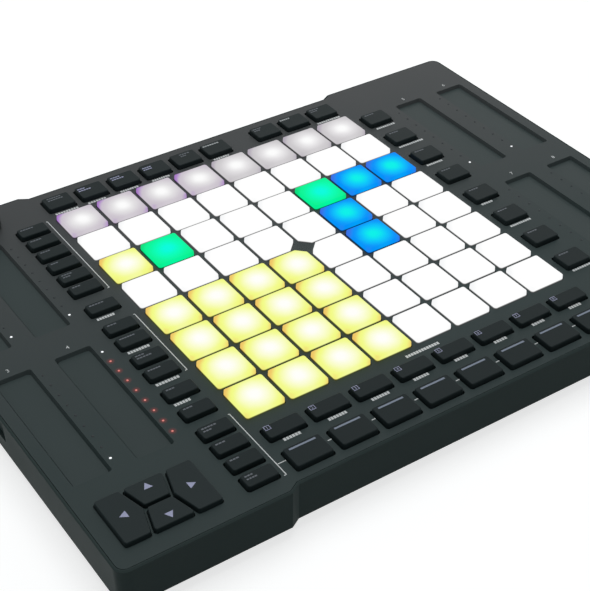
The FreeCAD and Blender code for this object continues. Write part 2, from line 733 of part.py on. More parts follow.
def build_pad_row(number):
    """Row 1 is the rear one. The pads on both sides of the grid's middle lose a corner."""
    body = new_body("pads_row_%d" % number)
    names = "row_%d_" % number
    flange = new_sketch(body, names + "flange", z=FLANGE_BOTTOM)
    flange_width = size.pad_width + 2 * size.flange_rim
    draw_rectangle(flange, flange_width, flange_width, size.pad_corner)
    extrude(body, flange, size.flange_thick)
    neck = new_sketch(body, names + "neck", z=FLANGE_TOP)
    draw_rectangle(neck, size.pad_width, size.pad_width, size.pad_corner)
    extrude(body, neck, size.panel_thick + size.flange_drop)
    crown = new_sketch(body, names + "crown", z=size.panel_top)
    draw_rectangle(crown, size.pad_width, size.pad_width, size.pad_corner)
    extrude(body, crown, size.pad_rise, taper=size.pad_taper)
    round_top(body, size.pad_round)
    repeat(body, "X", size.pad_count, size.pad_pitch)
    row_y = size.pad_pitch * (4.5 - number)
    if number in (4, 5):
        cut = new_sketch(body, names + "diamond", size.pad_pitch * 3.5, -row_y,
                         FLANGE_BOTTOM)
        reach = float(size.diamond_reach)
        draw_loop(cut, [(reach, 0), (0, reach), (-reach, 0), (0, -reach)])
        pocket(body, cut, size.panel_top + size.pad_rise - FLANGE_BOTTOM, up=True)
    place(body, -size.pad_pitch * 3.5, size.grid_y + row_y)


# Keys: caps with a flange under the panel, one body for each group

def key_group(name, x, y, width, depth, count_x=1, pitch_x=0, count_y=1, pitch_y=0,
              rim=size.flange_rim, gap=size.key_gap):
    return {"name": name, "x": x, "y": y, "width": width, "depth": depth, "rim": rim,
            "gap": gap, "count_x": count_x, "pitch_x": pitch_x, "count_y": count_y, "pitch_y": pitch_y}


def left_keys(name, y, count=1, pitch=0):
    return key_group(name, size.left_key_x, y, size.left_key_width, size.left_key_depth,
                     count_y=count, pitch_y=pitch)


KEY_GROUPS = [
    key_group("top_keys_left", size.top_left_x, size.top_key_y, size.key_width, size.key_depth,
              6, size.top_key_pitch),
    key_group("top_keys_right", size.top_right_x, size.top_key_y, size.key_width, size.key_depth,
              3, size.top_key_pitch),
    key_group("scene_keys", size.scene_key_x, size.scene_key_y, size.key_width, size.key_depth,
              count_y=size.pad_count, pitch_y=size.pad_pitch),
    left_keys("left_keys_back", size.left_back_y, 6, size.left_key_pitch),
    left_keys("left_key_upper", size.left_upper_y),
    left_keys("left_pair_back", size.left_pair_back_y, 2, size.left_pair_pitch),
    left_keys("left_pair_front", size.left_pair_front_y, 2, size.left_pair_pitch),
    left_keys("left_key_lower_back", size.left_lower_back_y),
    left_keys("left_key_lower_front", size.left_lower_front_y),
    left_keys("left_keys_front", size.left_front_y, 4, size.left_key_pitch),
    key_group("track_select_keys", -size.pad_pitch * 3.5, size.select_y, size.track_width,
              size.select_depth, size.pad_count, size.pad_pitch),
    key_group("track_control_keys", -size.pad_pitch * 3.5, size.control_y, size.track_width,
              size.control_depth, size.pad_count, size.pad_pitch),
]


def build_key_group(key):
    body = new_body(key["name"])
    flange = new_sketch(body, key["name"] + "_flange", z=FLANGE_BOTTOM)
    draw_rectangle(flange, key["width"] + 2 * key["rim"], key["depth"] + 2 * key["rim"],
                   size.key_corner)
    extrude(body, flange, size.flange_thick)
    neck = new_sketch(body, key["name"] + "_neck", z=FLANGE_TOP)
    draw_rectangle(neck, key["width"], key["depth"], size.key_corner)
    extrude(body, neck, size.panel_thick + size.flange_drop)
    crown = new_sketch(body, key["name"] + "_crown", z=size.panel_top)
    draw_rectangle(crown, key["width"], key["depth"], size.key_corner)
    extrude(body, crown, size.key_rise, taper=size.key_taper)
    round_top(body, size.key_round)
    repeat(body, "X", key["count_x"], key["pitch_x"])
    repeat(body, "Y", key["count_y"], key["pitch_y"])
    place(body, key["x"], key["y"])


def build_arrow_key(name, points):
    body = new_body(name)
    flange = new_sketch(body, name + "_flange", z=FLANGE_BOTTOM)
    draw_loop(flange, offset_points(points, -float(size.arrow_flange)), float(size.key_corner))
    extrude(body, flange, size.flange_thick)
    neck = new_sketch(body, name + "_neck", z=FLANGE_TOP)
    draw_loop(neck, points, float(size.key_corner))
    extrude(body, neck, size.panel_thick + size.flange_drop)
    crown = new_sketch(body, name + "_crown", z=size.panel_top)
    draw_loop(crown, points, float(size.key_corner))
    extrude(body, crown, size.key_rise, taper=size.key_taper)
    round_top(body, size.key_round)
    place(body, -size.cluster_x, size.cluster_y)


def build_transport_keys():
    for step, name in ((-1, "play_key"), (0, "record_key"), (1, "stop_key")):
        build_key_group(key_group(name, size.cluster_x + step * size.transport_pitch,
                                  size.cluster_y, size.transport_width, size.transport_depth,
                                  rim=size.arrow_flange))


# Touch strips, their lights and light pipes

def repeat_over_strips(body, between_halves):
    """One strip's piece, first made at the front left, is copied to all eight strips."""
    repeat(body, "X", 2, size.strip_pitch)
    repeat(body, "Y", 2, size.strip_row_pitch)
    repeat(body, "X", 2, between_halves)


def build_touch_strips():
    body = new_body("touch_strips")
    sketch = new_sketch(body, "strip_plate", z=PANEL_UNDER)
    draw_rectangle(sketch, size.strip_width - 0.8, size.strip_length - 0.8, size.strip_corner)
    extrude(body, sketch, size.strip_plate_thick, down=True)
    face = new_sketch(body, "strip_face", z=PANEL_UNDER)
    draw_rectangle(face, size.strip_face_width, size.strip_face_length, size.strip_corner)
    extrude(body, face, size.strip_face_rise, taper=-size.strip_taper)
    repeat_over_strips(body, 2 * size.strip_outer_x - size.strip_pitch)
    place(body, -size.strip_outer_x, STRIP_FRONT_Y)


def build_strip_lights(name, top, height, radius):
    """Small round pieces under the light holes, hanging down from the height top."""
    body = new_body(name)
    sketch = new_sketch(body, name + "_section", z=top)
    draw_circle(sketch, radius)
    extrude(body, sketch, height, down=True)
    repeat(body, "Y", size.led_count, size.led_pitch)
    repeat_over_strips(body, 2 * (size.strip_outer_x - size.led_side) - size.strip_pitch)
    place(body, size.led_side - size.strip_outer_x, STRIP_FRONT_Y + size.led_rear_shift)


# Circuit boards, membranes and lights

def build_center_board():
    body = new_body("center_board")
    middle = (size.board_front + size.board_rear) / 2
    sketch = new_sketch(body, "center_board_outline", 0, middle, BOARD_UNDER)
    draw_rectangle(sketch, 2 * size.board_half_width, size.board_rear - size.board_front, 1.5)
    extrude(body, sketch, size.board_thick)
    holes = new_sketch(body, "center_board_holes", z=size.board_top)
    for x, y in screw_places():
        if abs(x) < float(size.board_half_width):
            draw_circle(holes, size.screw_shank + size.hole_gap, x, y)
    pocket(body, holes, size.board_thick)


def build_side_board(name, points, side):
    body = new_body(name)
    sketch = new_sketch(body, name + "_outline", z=BOARD_UNDER)
    draw_loop(sketch, points)
    extrude(body, sketch, size.board_thick)
    holes = new_sketch(body, name + "_holes", z=size.board_top)
    clearance = new_sketch(body, name + "_post_holes", z=size.board_top)
    for x, y in screw_places():
        if x * side > float(size.board_half_width):
            draw_circle(holes, size.screw_shank + size.hole_gap, x, y)
    for x, y in POST_PLACES:
        if x * side > float(size.side_board_inner) and y < float(size.side_board_rear):
            draw_circle(clearance, size.post_radius + 0.8, x, y)
    pocket(body, holes, size.board_thick)
    pocket(body, clearance, size.board_thick)


def build_side_boards():
    inner = float(size.side_board_inner)
    outer = float(size.side_board_outer)
    front = float(size.board_front)
    rear = float(size.side_board_rear)
    behind_display = 137
    left = [(-outer, front), (-inner, front), (-inner, rear), (-inner - 7, rear),
            (-inner - 7, behind_display), (-outer, behind_display)]
    build_side_board("left_board", left, -1)
    tongue_left = float(size.usb_x) - 11
    tongue_right = float(size.usb_x) + 11
    tongue_rear = float(size.body_depth / 2 - size.wall_thick - 1.4)
    right = [(inner, front), (outer, front), (outer, rear), (tongue_right, rear),
             (tongue_right, tongue_rear), (tongue_left, tongue_rear), (tongue_left, rear),
             (inner, rear)]
    build_side_board("right_board", right, 1)


def build_io_board():
    body = new_body("io_board")
    sketch = new_sketch(body, "io_board_outline", 154, 129.5, size.io_board_bottom)
    draw_rectangle(sketch, 76, 23, 1)
    extrude(body, sketch, size.board_thick)
    holes = new_sketch(body, "io_board_holes", z=size.io_board_bottom)
    for x, y in IO_SCREW_PLACES:
        draw_circle(holes, size.screw_shank + size.hole_gap, x, y)
    pocket(body, holes, size.board_thick, up=True)


def build_board_screws():
    body = new_body("board_screws")
    heads = new_sketch(body, "board_heads", z=size.board_top)
    shanks = new_sketch(body, "board_shanks", z=size.board_top)
    for x, y in screw_places():
        draw_circle(heads, size.screw_head, x, y)
        draw_circle(shanks, size.screw_shank, x, y)
    extrude(body, heads, size.screw_head_height)
    extrude(body, shanks, size.screw_length, down=True)
    io_heads = new_sketch(body, "io_heads", z=size.io_board_bottom + size.board_thick)
    io_shanks = new_sketch(body, "io_shanks", z=size.io_board_bottom + size.board_thick)
    for x, y in IO_SCREW_PLACES:
        draw_circle(io_heads, size.screw_head, x, y)
        draw_circle(io_shanks, size.screw_shank, x, y)
    extrude(body, io_heads, size.screw_head_height)
    extrude(body, io_shanks, size.board_thick + 1.6, down=True)


def build_pad_membrane():
    body = new_body("pad_membrane")
    outline = new_sketch(body, "membrane_outline", z=size.board_top)
    side = 2 * size.board_half_width
    draw_opening(outline, 0, size.grid_y, side, side, 2)
    columns = spread(-size.pad_pitch * 3.5, size.pad_count, size.pad_pitch)
    for x in columns:
        for y in columns:
            draw_opening(outline, x, size.grid_y + y, size.window_width, size.window_width, 1)
    for x, y in screw_places():
        if abs(x) < float(size.board_half_width):
            draw_circle(outline, size.screw_head + 0.4, x, y)
    extrude(body, outline, MAT_THICK)


def build_key_mat(name, x, y, width, depth):
    body = new_body(name)
    sketch = new_sketch(body, name + "_outline", x, y, size.board_top)
    draw_rectangle(sketch, width, depth, 1.5)
    extrude(body, sketch, MAT_THICK)


def build_key_mats():
    build_key_mat("top_key_mat", 0, size.top_key_y, 2 * size.board_half_width, size.key_depth + 2.5)
    build_key_mat("front_key_mat", 0, (size.select_y + size.control_y) / 2 - 1,
                  2 * size.board_half_width, 36)
    build_key_mat("left_key_mat", size.left_key_x, -12, size.left_key_width + 2.4, 248)
    build_key_mat("right_key_mat", size.scene_key_x + 0.6, size.grid_y - 0.2, size.key_width + 2.6,
                  size.pad_pitch * 7 + size.key_depth + 3)
    build_key_mat("arrow_key_mat", -size.cluster_x, size.cluster_y, 2 * size.cluster_half_width + 2,
                  2 * size.cluster_half_depth + 2)
    build_key_mat("transport_key_mat", size.cluster_x, size.cluster_y, 2 * size.cluster_half_width + 2,
                  size.transport_depth + 3)


def build_pad_lights():
    body = new_body("pad_lights")
    sketch = new_sketch(body, "pad_light", z=size.board_top)
    draw_rectangle(sketch, size.pad_light_width, size.pad_light_width, 0.3)
    extrude(body, sketch, size.pad_light_height)
    repeat(body, "X", size.pad_count, size.pad_pitch)
    repeat(body, "Y", size.pad_count, size.pad_pitch)
    place(body, -size.pad_pitch * 3.5, size.grid_y - size.pad_pitch * 3.5)


# Display and push dial

def build_display():
    window = new_body("display_window")
    sketch = new_sketch(window, "window_outline", z=size.panel_top - 0.1)
    draw_rectangle(sketch, size.display_width, size.display_depth, 0.8)
    extrude(window, sketch, size.display_thick, down=True)
    place(window, size.display_x, size.display_y)
    module = new_body("display_module")
    case = new_sketch(module, "module_outline", z=size.board_top)
    draw_rectangle(case, size.display_width - 1, size.display_depth - 1, 0.5)
    extrude(module, case, size.panel_top - 0.1 - size.display_thick - size.board_top)
    place(module, size.display_x, size.display_y)


def build_encoder():
    case = new_body("encoder_body")
    block = new_sketch(case, "encoder_block", z=size.board_top)
    draw_rectangle(block, size.encoder_width, size.encoder_width, 0.5)
    extrude(case, block, size.encoder_top - size.board_top)
    bushing = new_sketch(case, "encoder_bushing", z=size.encoder_top)
    draw_circle(bushing, size.bushing_radius)
    extrude(case, bushing, size.bushing_top - size.encoder_top)
    bore = new_sketch(case, "encoder_bore", z=size.bushing_top)
    draw_circle(bore, size.shaft_radius + 0.1)
    pocket(case, bore, size.bushing_top - size.board_top - 0.6)
    place(case, size.dial_x, size.dial_y)

    plunger = new_body("encoder_plunger")
    disc = new_sketch(plunger, "plunger_disc", z=size.board_top + 1.3)
    draw_circle(disc, size.shaft_radius - 0.2)
    extrude(plunger, disc, 1)
    place(plunger, size.dial_x, size.dial_y)

    shaft = new_body("encoder_shaft")
    rod = new_sketch(shaft, "shaft_rod", z=size.board_top + 2.4)
    draw_circle(rod, size.shaft_radius)
    extrude(shaft, rod, size.dial_bottom + size.dial_height - 2 - size.board_top - 2.4)
    flat = new_sketch(shaft, "shaft_flat", 0, 2 * size.shaft_radius - 1, size.dial_bottom + 4)
    draw_rectangle(flat, 3 * size.shaft_radius, 2 * size.shaft_radius, 0.2)
    pocket(shaft, flat, size.dial_height, up=True)
    place(shaft, size.dial_x, size.dial_y)

    knob = new_body("encoder_knob")
    skirt = new_sketch(knob, "knob_skirt", z=size.dial_bottom)
    draw_circle(skirt, size.dial_radius)
    extrude(knob, skirt, size.dial_height, taper=2)
    round_top(knob, 0.8)
    socket = new_sketch(knob, "knob_socket", z=size.dial_bottom)
    draw_circle(socket, size.bushing_radius + 0.8)
    pocket(knob, socket, 4, up=True)
    hole = new_sketch(knob, "knob_hole", z=size.dial_bottom)
    draw_circle(hole, size.shaft_radius + 0.05)
    pocket(knob, hole, size.dial_height - 1.8, up=True)
    place(knob, size.dial_x, size.dial_y)


# Connectors in the rear of the right wing

REAR_FACE = size.body_depth / 2
SOCKET_FACE = size.body_depth / 2 - size.wall_thick - 1.3


def draw_rear_rectangle(body, name, x, z, width, height, corner, face):
    """A rounded rectangle in an upright plane, seen from the front."""
    sketch = new_sketch(body, name, x, z, -face, plane="XZ_Plane")
    draw_rectangle(sketch, width, height, corner)
    return sketch


def build_connector_plate():
    body = new_body("connector_plate")
    middle = (size.plate_left + size.plate_right) / 2
    centre_z = (size.frame_bottom + size.plate_top) / 2
    outer = draw_rear_rectangle(body, "plate_face", middle, centre_z,
                                size.plate_right - size.plate_left - 2 * size.fit_gap,
                                size.plate_top - size.frame_bottom - 2 * size.fit_gap, 0.3, REAR_FACE)
    extrude(body, outer, size.wall_thick)
    inner = draw_rear_rectangle(body, "plate_flange", middle, centre_z,
                                size.plate_right - size.plate_left + 3,
                                size.plate_top - size.frame_bottom - 1, 0.3,
                                size.body_depth / 2 - size.wall_thick)
    extrude(body, inner, 1.2)
    for name, x in (("midi_in", size.midi_in_x), ("midi_out", size.midi_out_x)):
        hole = new_sketch(body, name + "_hole", x, size.socket_z, -REAR_FACE,
                          plane="XZ_Plane")
        draw_circle(hole, 7.6)
        pocket(body, hole, size.wall_thick + 2, up=True)
    usb = draw_rear_rectangle(body, "usb_hole", size.usb_x, BOARD_UNDER - size.usb_height / 2,
                              size.usb_width + 0.5, size.usb_height + 0.5, 1.7, REAR_FACE)
    pocket(body, usb, size.wall_thick + 2, up=True)


def build_midi_socket(name, x):
    """The housing, with the round bore that takes the insert and the plug's ring."""
    body = new_body(name)
    block = draw_rear_rectangle(body, name + "_block", x, size.socket_z, 18.4, 16.2, 0.8,
                                SOCKET_FACE)
    extrude(body, block, 14)
    bore = new_sketch(body, name + "_bore", x, size.socket_z, -SOCKET_FACE, plane="XZ_Plane")
    draw_circle(bore, 7.4)
    pocket(body, bore, size.insert_length, up=True)


def build_socket_inserts():
    """The round inserts of both sockets, each with five contact holes."""
    body = new_body("socket_inserts")
    core = new_sketch(body, "insert_core", 0, size.socket_z, -SOCKET_FACE, plane="XZ_Plane")
    draw_circle(core, size.insert_radius)
    extrude(body, core, size.insert_length)
    pins = new_sketch(body, "insert_pins", 0, size.socket_z, -SOCKET_FACE, plane="XZ_Plane")
    pin_circle = 4.45
    for step in range(5):
        angle = math.radians(45 * step)
        draw_circle(pins, 0.8, pin_circle * math.cos(angle), pin_circle * math.sin(angle))
    pocket(body, pins, size.insert_length - 2, up=True)
    repeat(body, "X", 2, size.midi_out_x - size.midi_in_x)
    place(body, size.midi_in_x)


def build_usb_socket():
    body = new_body("usb_socket")
    height = BOARD_UNDER - size.usb_height / 2
    shell = draw_rear_rectangle(body, "usb_shell", size.usb_x, height, size.usb_width, size.usb_height,
                                1.5, SOCKET_FACE)
    extrude(body, shell, 7.4)
    mouth = draw_rear_rectangle(body, "usb_mouth", size.usb_x, height, size.usb_width - 0.6,
                                size.usb_height - 0.6, 1.2, SOCKET_FACE)
    pocket(body, mouth, 6.8, up=True)
    tongue = draw_rear_rectangle(body, "usb_tongue", size.usb_x, height, 6.7, 0.7, 0.2,
                                 SOCKET_FACE - 1.2)
    extrude(body, tongue, 5.7)


# Flat cables between the boards

def build_flat_cables():
    body = new_body("flat_cables")
    for side, label in ((-1, "left"), (1, "right")):
        middle = side * (float(size.board_half_width) + float(size.side_board_inner)) / 2
        sketch = new_sketch(body, label + "_cable", middle, 50, BOARD_UNDER)
        draw_rectangle(sketch, 14, 20, 0.2)
        extrude(body, sketch, 0.3, down=True)
    path = new_sketch(body, "io_cable", z=150, plane="YZ_Plane")
    top = float(BOARD_UNDER)
    low = float(size.io_board_bottom + size.board_thick)
    rear = float(size.side_board_rear) - 2.4
    thick = 0.3
    corners = [(rear - 12, top - thick), (rear - thick, top - thick), (rear - thick, low),
               (rear + 6, low), (rear + 6, low + thick), (rear, low + thick), (rear, top),
               (rear - 12, top)]
    draw_loop(path, corners)
    extrude(body, path, 14)


# The whole object, piece by piece

build_bottom_case()
build_case_frame()
build_top_panel()
build_rubber_feet()
build_case_screws()
build_center_board()
build_side_boards()
build_io_board()
build_board_screws()
build_pad_membrane()
build_key_mats()
build_pad_lights()
for row_number in range(1, 9):
    build_pad_row(row_number)
for group in KEY_GROUPS:
    build_key_group(group)
for arrow_name, arrow_points in arrow_outlines().items():
    build_arrow_key(arrow_name, arrow_points)
build_transport_keys()
build_touch_strips()
build_strip_lights("strip_light_pipes", size.panel_top - 0.1, size.panel_top - 0.1 - PIPE_BOTTOM,
                   size.led_radius)
build_strip_lights("strip_lights", size.board_top + 0.7, 0.7, 0.9)
build_display()
build_encoder()
build_connector_plate()
build_midi_socket("midi_in_socket", size.midi_in_x)
build_midi_socket("midi_out_socket", size.midi_out_x)
build_socket_inserts()
build_usb_socket()
build_flat_cables()

# Every piece is checked before any is written

doc.recompute()
for item in doc.Objects:
    if "Invalid" in item.State or "Error" in item.State:
        raise RuntimeError("failed: " + item.Name)
pieces = [item for item in doc.Objects if item.TypeId == "PartDesign::Body"]
for piece in pieces:
    if piece.Shape.isNull() or not piece.Shape.isValid():
        raise RuntimeError("bad shape: " + piece.Label)

os.makedirs("parts", exist_ok=True)
for piece in pieces:
    piece.Shape.exportStep("parts/" + piece.Label + ".step")
    print(piece.Label, len(piece.Shape.Solids), round(piece.Shape.Volume, 1))
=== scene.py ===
import math

import bmesh
import bpy
from mathutils import Matrix, Vector


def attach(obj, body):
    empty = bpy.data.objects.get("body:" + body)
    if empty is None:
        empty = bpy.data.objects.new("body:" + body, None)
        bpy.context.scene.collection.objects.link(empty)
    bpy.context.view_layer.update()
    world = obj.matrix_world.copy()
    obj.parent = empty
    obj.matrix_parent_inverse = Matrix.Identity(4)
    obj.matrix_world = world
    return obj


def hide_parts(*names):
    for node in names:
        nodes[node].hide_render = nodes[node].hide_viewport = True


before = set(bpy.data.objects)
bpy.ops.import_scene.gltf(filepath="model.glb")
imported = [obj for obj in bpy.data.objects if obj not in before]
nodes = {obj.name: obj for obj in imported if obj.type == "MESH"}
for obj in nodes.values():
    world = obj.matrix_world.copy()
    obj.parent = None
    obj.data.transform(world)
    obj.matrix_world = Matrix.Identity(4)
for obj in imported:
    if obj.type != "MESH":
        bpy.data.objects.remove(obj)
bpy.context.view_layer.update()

# Bottom case. A shallow tray of black ABS, moulded with a fine spark-eroded grain; eight
# bosses take the case screws and the standoffs carry the circuit boards.


def colour(red, green, blue):
    """A colour given as 0 to 255, as the eye reads it."""
    parts = []
    for part in (red, green, blue):
        part /= 255
        parts.append(part / 12.92 if part < 0.04045 else ((part + 0.055) / 1.055) ** 2.4)
    return (*parts, 1.0)


def scaled(tone, factor):
    """The same tone, darker or lighter."""
    return (*[part * factor for part in tone[:3]], 1.0)


def node_in(tree, kind, inputs=None, **settings):
    """Adds a node to a tree; each input is a value or the output that feeds it."""
    node = tree.nodes.new(kind)
    for key, value in settings.items():
        setattr(node, key, value)
    for key, value in (inputs or {}).items():
        if isinstance(value, bpy.types.NodeSocket):
            tree.links.new(value, node.inputs[key])
        else:
            node.inputs[key].default_value = value
    return node


def maths(tree, operation, *values):
    """One step of arithmetic; each value is a number or an output."""
    step = node_in(tree, "ShaderNodeMath", dict(enumerate(values)), operation=operation)
    return step.outputs[0]


def blank_material(name):
    """A new material with an empty tree."""
    material = bpy.data.materials.new(name)
    material.use_nodes = True
    material.node_tree.nodes.clear()
    return material, material.node_tree


def close_material(tree, shader):
    """Joins the last shader to the material's output."""
    output = tree.nodes.new("ShaderNodeOutputMaterial")
    tree.links.new(shader, output.inputs["Surface"])


def ramp_in(tree, factor, stops, interpolation="LINEAR"):
    """A run of colours; each stop is a place from 0 to 1 and a tone."""
    ramp = node_in(tree, "ShaderNodeValToRGB", {"Fac": factor})
    ramp.color_ramp.interpolation = interpolation
    elements = ramp.color_ramp.elements
    while len(elements) < len(stops):
        elements.new(0.5)
    for element, stop in zip(elements, stops):
        element.position = stop[0]
    for element, stop in zip(elements, stops):
        element.color = stop[1]
    return ramp.outputs["Color"]


def noise_in(tree, place, scale, detail, roughness=0.5):
    """A cloud pattern, as a share that lies mostly between its faint and full values."""
    noise = node_in(tree, "ShaderNodeTexNoise", {"Vector": place, "Scale": scale,
                                                 "Detail": detail, "Roughness": roughness})
    return noise.outputs["Fac"]


NOISE_FAINT = 0.3
NOISE_FULL = 0.7


def polished(tree, clouds, rough, spread):
    """Roughness that wanders a little with the clouds."""
    polish = node_in(tree, "ShaderNodeMapRange",
                     {"Value": clouds, "From Min": NOISE_FAINT, "From Max": NOISE_FULL,
                      "To Min": rough - spread, "To Max": rough + spread})
    return polish.outputs["Result"]


def relief_in(tree, height, strength, distance):
    """Bump from a pattern; the distance is in metres."""
    bump = node_in(tree, "ShaderNodeBump",
                   {"Height": height, "Strength": strength, "Distance": distance})
    return bump.outputs["Normal"]


def moulded(name, tone, rough=0.5, grain=0.0005, relief=0.00003, mottle=0.06, metal=0.0,
            specular=0.4):
    """A moulded, cast or plated surface: slightly cloudy, finely grained, unevenly polished."""
    material, tree = blank_material(name)
    place = node_in(tree, "ShaderNodeTexCoord").outputs["Object"]
    clouds = noise_in(tree, place, 22, 5, 0.6)
    grains = noise_in(tree, place, 1 / grain, 2)
    half = maths(tree, "MULTIPLY", maths(tree, "ADD", clouds, grains), 0.5)
    base = ramp_in(tree, half, [(NOISE_FAINT, scaled(tone, 1 - mottle)),
                                (NOISE_FULL, scaled(tone, 1 + mottle))])
    shader = node_in(tree, "ShaderNodeBsdfPrincipled",
                     {"Base Color": base, "Roughness": polished(tree, clouds, rough, 0.05),
                      "Normal": relief_in(tree, grains, 0.6, relief), "Metallic": metal,
                      "Specular IOR Level": specular})
    close_material(tree, shader.outputs["BSDF"])
    return material


def finish_node(name, material):
    """Gives a piece of the frame its finish."""
    mesh = nodes[name].data
    mesh.materials.clear()
    mesh.materials.append(material)


finish_node("bottom_case", moulded("black_tray_plastic", colour(32, 35, 35), rough=0.55))

# Rubber feet. Four soft black discs glued into round recesses under the corners of the
# tray; their faces are slightly rough from the mould.

finish_node("rubber_feet", moulded("foot_rubber", colour(25, 25, 26), rough=0.85,
                                   grain=0.0008, relief=0.00006, specular=0.25))

# Circuit boards, their screws and ribbons. Green fibreglass laminate; it hides under the
# panel, and only its edges show through the sockets' openings.

board_laminate = moulded("board_laminate", colour(20, 54, 34), rough=0.35, grain=0.0006)
for name in ("center_board", "left_board", "right_board", "io_board"):
    finish_node(name, board_laminate)
plated_steel = moulded("zinc_plated_steel", colour(150, 150, 154), rough=0.35, grain=0.0003,
                       relief=0.00001, metal=1.0, specular=0.5)
finish_node("board_screws", plated_steel)
finish_node("flat_cables", moulded("ribbon_cable", colour(190, 190, 184), rough=0.5))

# Midi sockets and usb socket. Black moulded housings with round inserts, five tinned
# contacts in each insert, and a folded steel shell round the flat usb tongue.


def growing_tree(name, inputs):
    """A geometry tree with its named inputs, its start and its end."""
    tree = bpy.data.node_groups.new(name, "GeometryNodeTree")
    tree.interface.new_socket("Geometry", in_out="OUTPUT", socket_type="NodeSocketGeometry")
    tree.interface.new_socket("Geometry", in_out="INPUT", socket_type="NodeSocketGeometry")
    for label, kind in inputs:
        tree.interface.new_socket(label, in_out="INPUT", socket_type=kind)
    start = tree.nodes.new("NodeGroupInput").outputs
    end = tree.nodes.new("NodeGroupOutput").inputs
    return tree, start, end


def end_tree(tree, geometry, material, end):
    """Ends a geometry tree in real geometry with its material set."""
    solid = node_in(tree, "GeometryNodeRealizeInstances", {"Geometry": geometry})
    dressed = node_in(tree, "GeometryNodeSetMaterial",
                      {"Geometry": solid.outputs[0], "Material": material})
    tree.links.new(dressed.outputs[0], end[0])


def smooth_by_angle(mesh, degrees=35):
    """Smooth faces, with every edge that turns more than the angle kept sharp."""
    mesh.shade_smooth()
    mesh.set_sharp_from_angle(angle=math.radians(degrees))


def new_piece(name, mesh):
    """A visible object at the origin, with its place in its mesh."""
    mesh.name = name
    piece = bpy.data.objects.new(name, mesh)
    bpy.context.collection.objects.link(piece)
    return piece


def grown(name, start_mesh, tree, values):
    """Runs a geometry tree on a start mesh and keeps the result as a plain mesh."""
    seed = bpy.data.objects.new(name + "_seed", start_mesh)
    bpy.context.collection.objects.link(seed)
    growth = seed.modifiers.new("growth", "NODES")
    growth.node_group = tree
    for item in tree.interface.items_tree:
        if item.in_out == "INPUT" and item.name in values:
            growth[item.identifier] = values[item.name]
    reading = bpy.context.evaluated_depsgraph_get()
    mesh = bpy.data.meshes.new_from_object(seed.evaluated_get(reading))
    seed.modifiers.remove(growth)
    bpy.data.objects.remove(seed)
    smooth_by_angle(mesh)
    return new_piece(name, mesh)


def places_mesh(places):
    """Bare points, one for each piece that a tree sets down."""
    mesh = bpy.data.meshes.new("places")
    mesh.from_pydata([tuple(place) for place in places], [], [])
    return mesh


for name in ("midi_in_socket", "midi_out_socket", "socket_inserts"):
    finish_node(name, moulded(name + "_plastic", colour(22, 22, 23), rough=0.42, grain=0.0004))
finish_node("usb_socket", moulded("folded_steel", colour(184, 185, 188), rough=0.28,
                                  grain=0.0003, relief=0.00001, metal=1.0, specular=0.5))

contact_tree, start, end = growing_tree(
    "contacts_in_holes", [("Radius", "NodeSocketFloat"), ("Length", "NodeSocketFloat"),
                          ("Metal", "NodeSocketMaterial")])
tube = node_in(contact_tree, "GeometryNodeMeshCylinder",
               {"Vertices": 12, "Radius": start["Radius"], "Depth": start["Length"]})
laid = node_in(contact_tree, "GeometryNodeTransform",
               {"Geometry": tube.outputs["Mesh"], "Rotation": (math.pi / 2, 0, 0)})
spread = node_in(contact_tree, "GeometryNodeInstanceOnPoints",
                 {"Points": start["Geometry"], "Instance": laid.outputs[0]})
end_tree(contact_tree, spread.outputs[0], start["Metal"], end)
SOCKET_X = (0.130, 0.152)
SOCKET_Z = 0.0167
PIN_COUNT = 5
PIN_STEP_DEGREES = 45
PIN_CIRCLE = 0.00445
PIN_MIDDLE_Y = 0.1378
contact_places = []
for socket_x in SOCKET_X:
    for step in range(PIN_COUNT):
        angle = math.radians(PIN_STEP_DEGREES * step)
        contact_places.append((socket_x + PIN_CIRCLE * math.cos(angle), PIN_MIDDLE_Y,
                               SOCKET_Z + PIN_CIRCLE * math.sin(angle)))
socket_contacts = grown("socket_contacts", places_mesh(contact_places), contact_tree,
                        {"Radius": 0.0006, "Length": 0.005, "Metal": plated_steel})
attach(socket_contacts, "case")

# Connector plate. Folded steel with a black powder coat, held between the tray and the
# frame, with clearance holes for the plugs.

finish_node("connector_plate", moulded("powder_coat", colour(36, 39, 39), rough=0.6,
                                       grain=0.0006, relief=0.00006))

# Membranes and lamps. Milky silicone sheets with a dome under each pad and key lie on the
# boards; each pad has its own lamp, and small ones sit under the light pipes.

silicone_sheet = moulded("milky_silicone", colour(150, 152, 150), rough=0.5)
for name in ("pad_membrane", "top_key_mat", "front_key_mat", "left_key_mat",
             "right_key_mat", "arrow_key_mat", "transport_key_mat"):
    finish_node(name, silicone_sheet)
lamp_case = moulded("lamp_case", colour(238, 236, 222), rough=0.3)
for name in ("pad_lights", "strip_lights"):
    finish_node(name, lamp_case)

# Case frame. The wall round the body is one moulding in charcoal ABS with a bevelled rim
# round the panel and a finger scoop in each side.

finish_node("case_frame", moulded("charcoal_frame_plastic", colour(61, 71, 70), rough=0.46,
                                  grain=0.0004, specular=0.02))

# Case screws. Eight zinc-plated pan heads with a cross recess, sunk in counterbores of the
# tray, pull it up against the posts of the panel.

CROSS_LENGTH = 0.0034
CROSS_WIDTH = 0.0008
CROSS_DEPTH = 0.0018
HEAD_MIDDLE = 0.0043
SCREW_SPOTS = ((0.1058, 0.010), (0.1645, 0.0113), (0.1344, -0.115), (0.1105, 0.128))

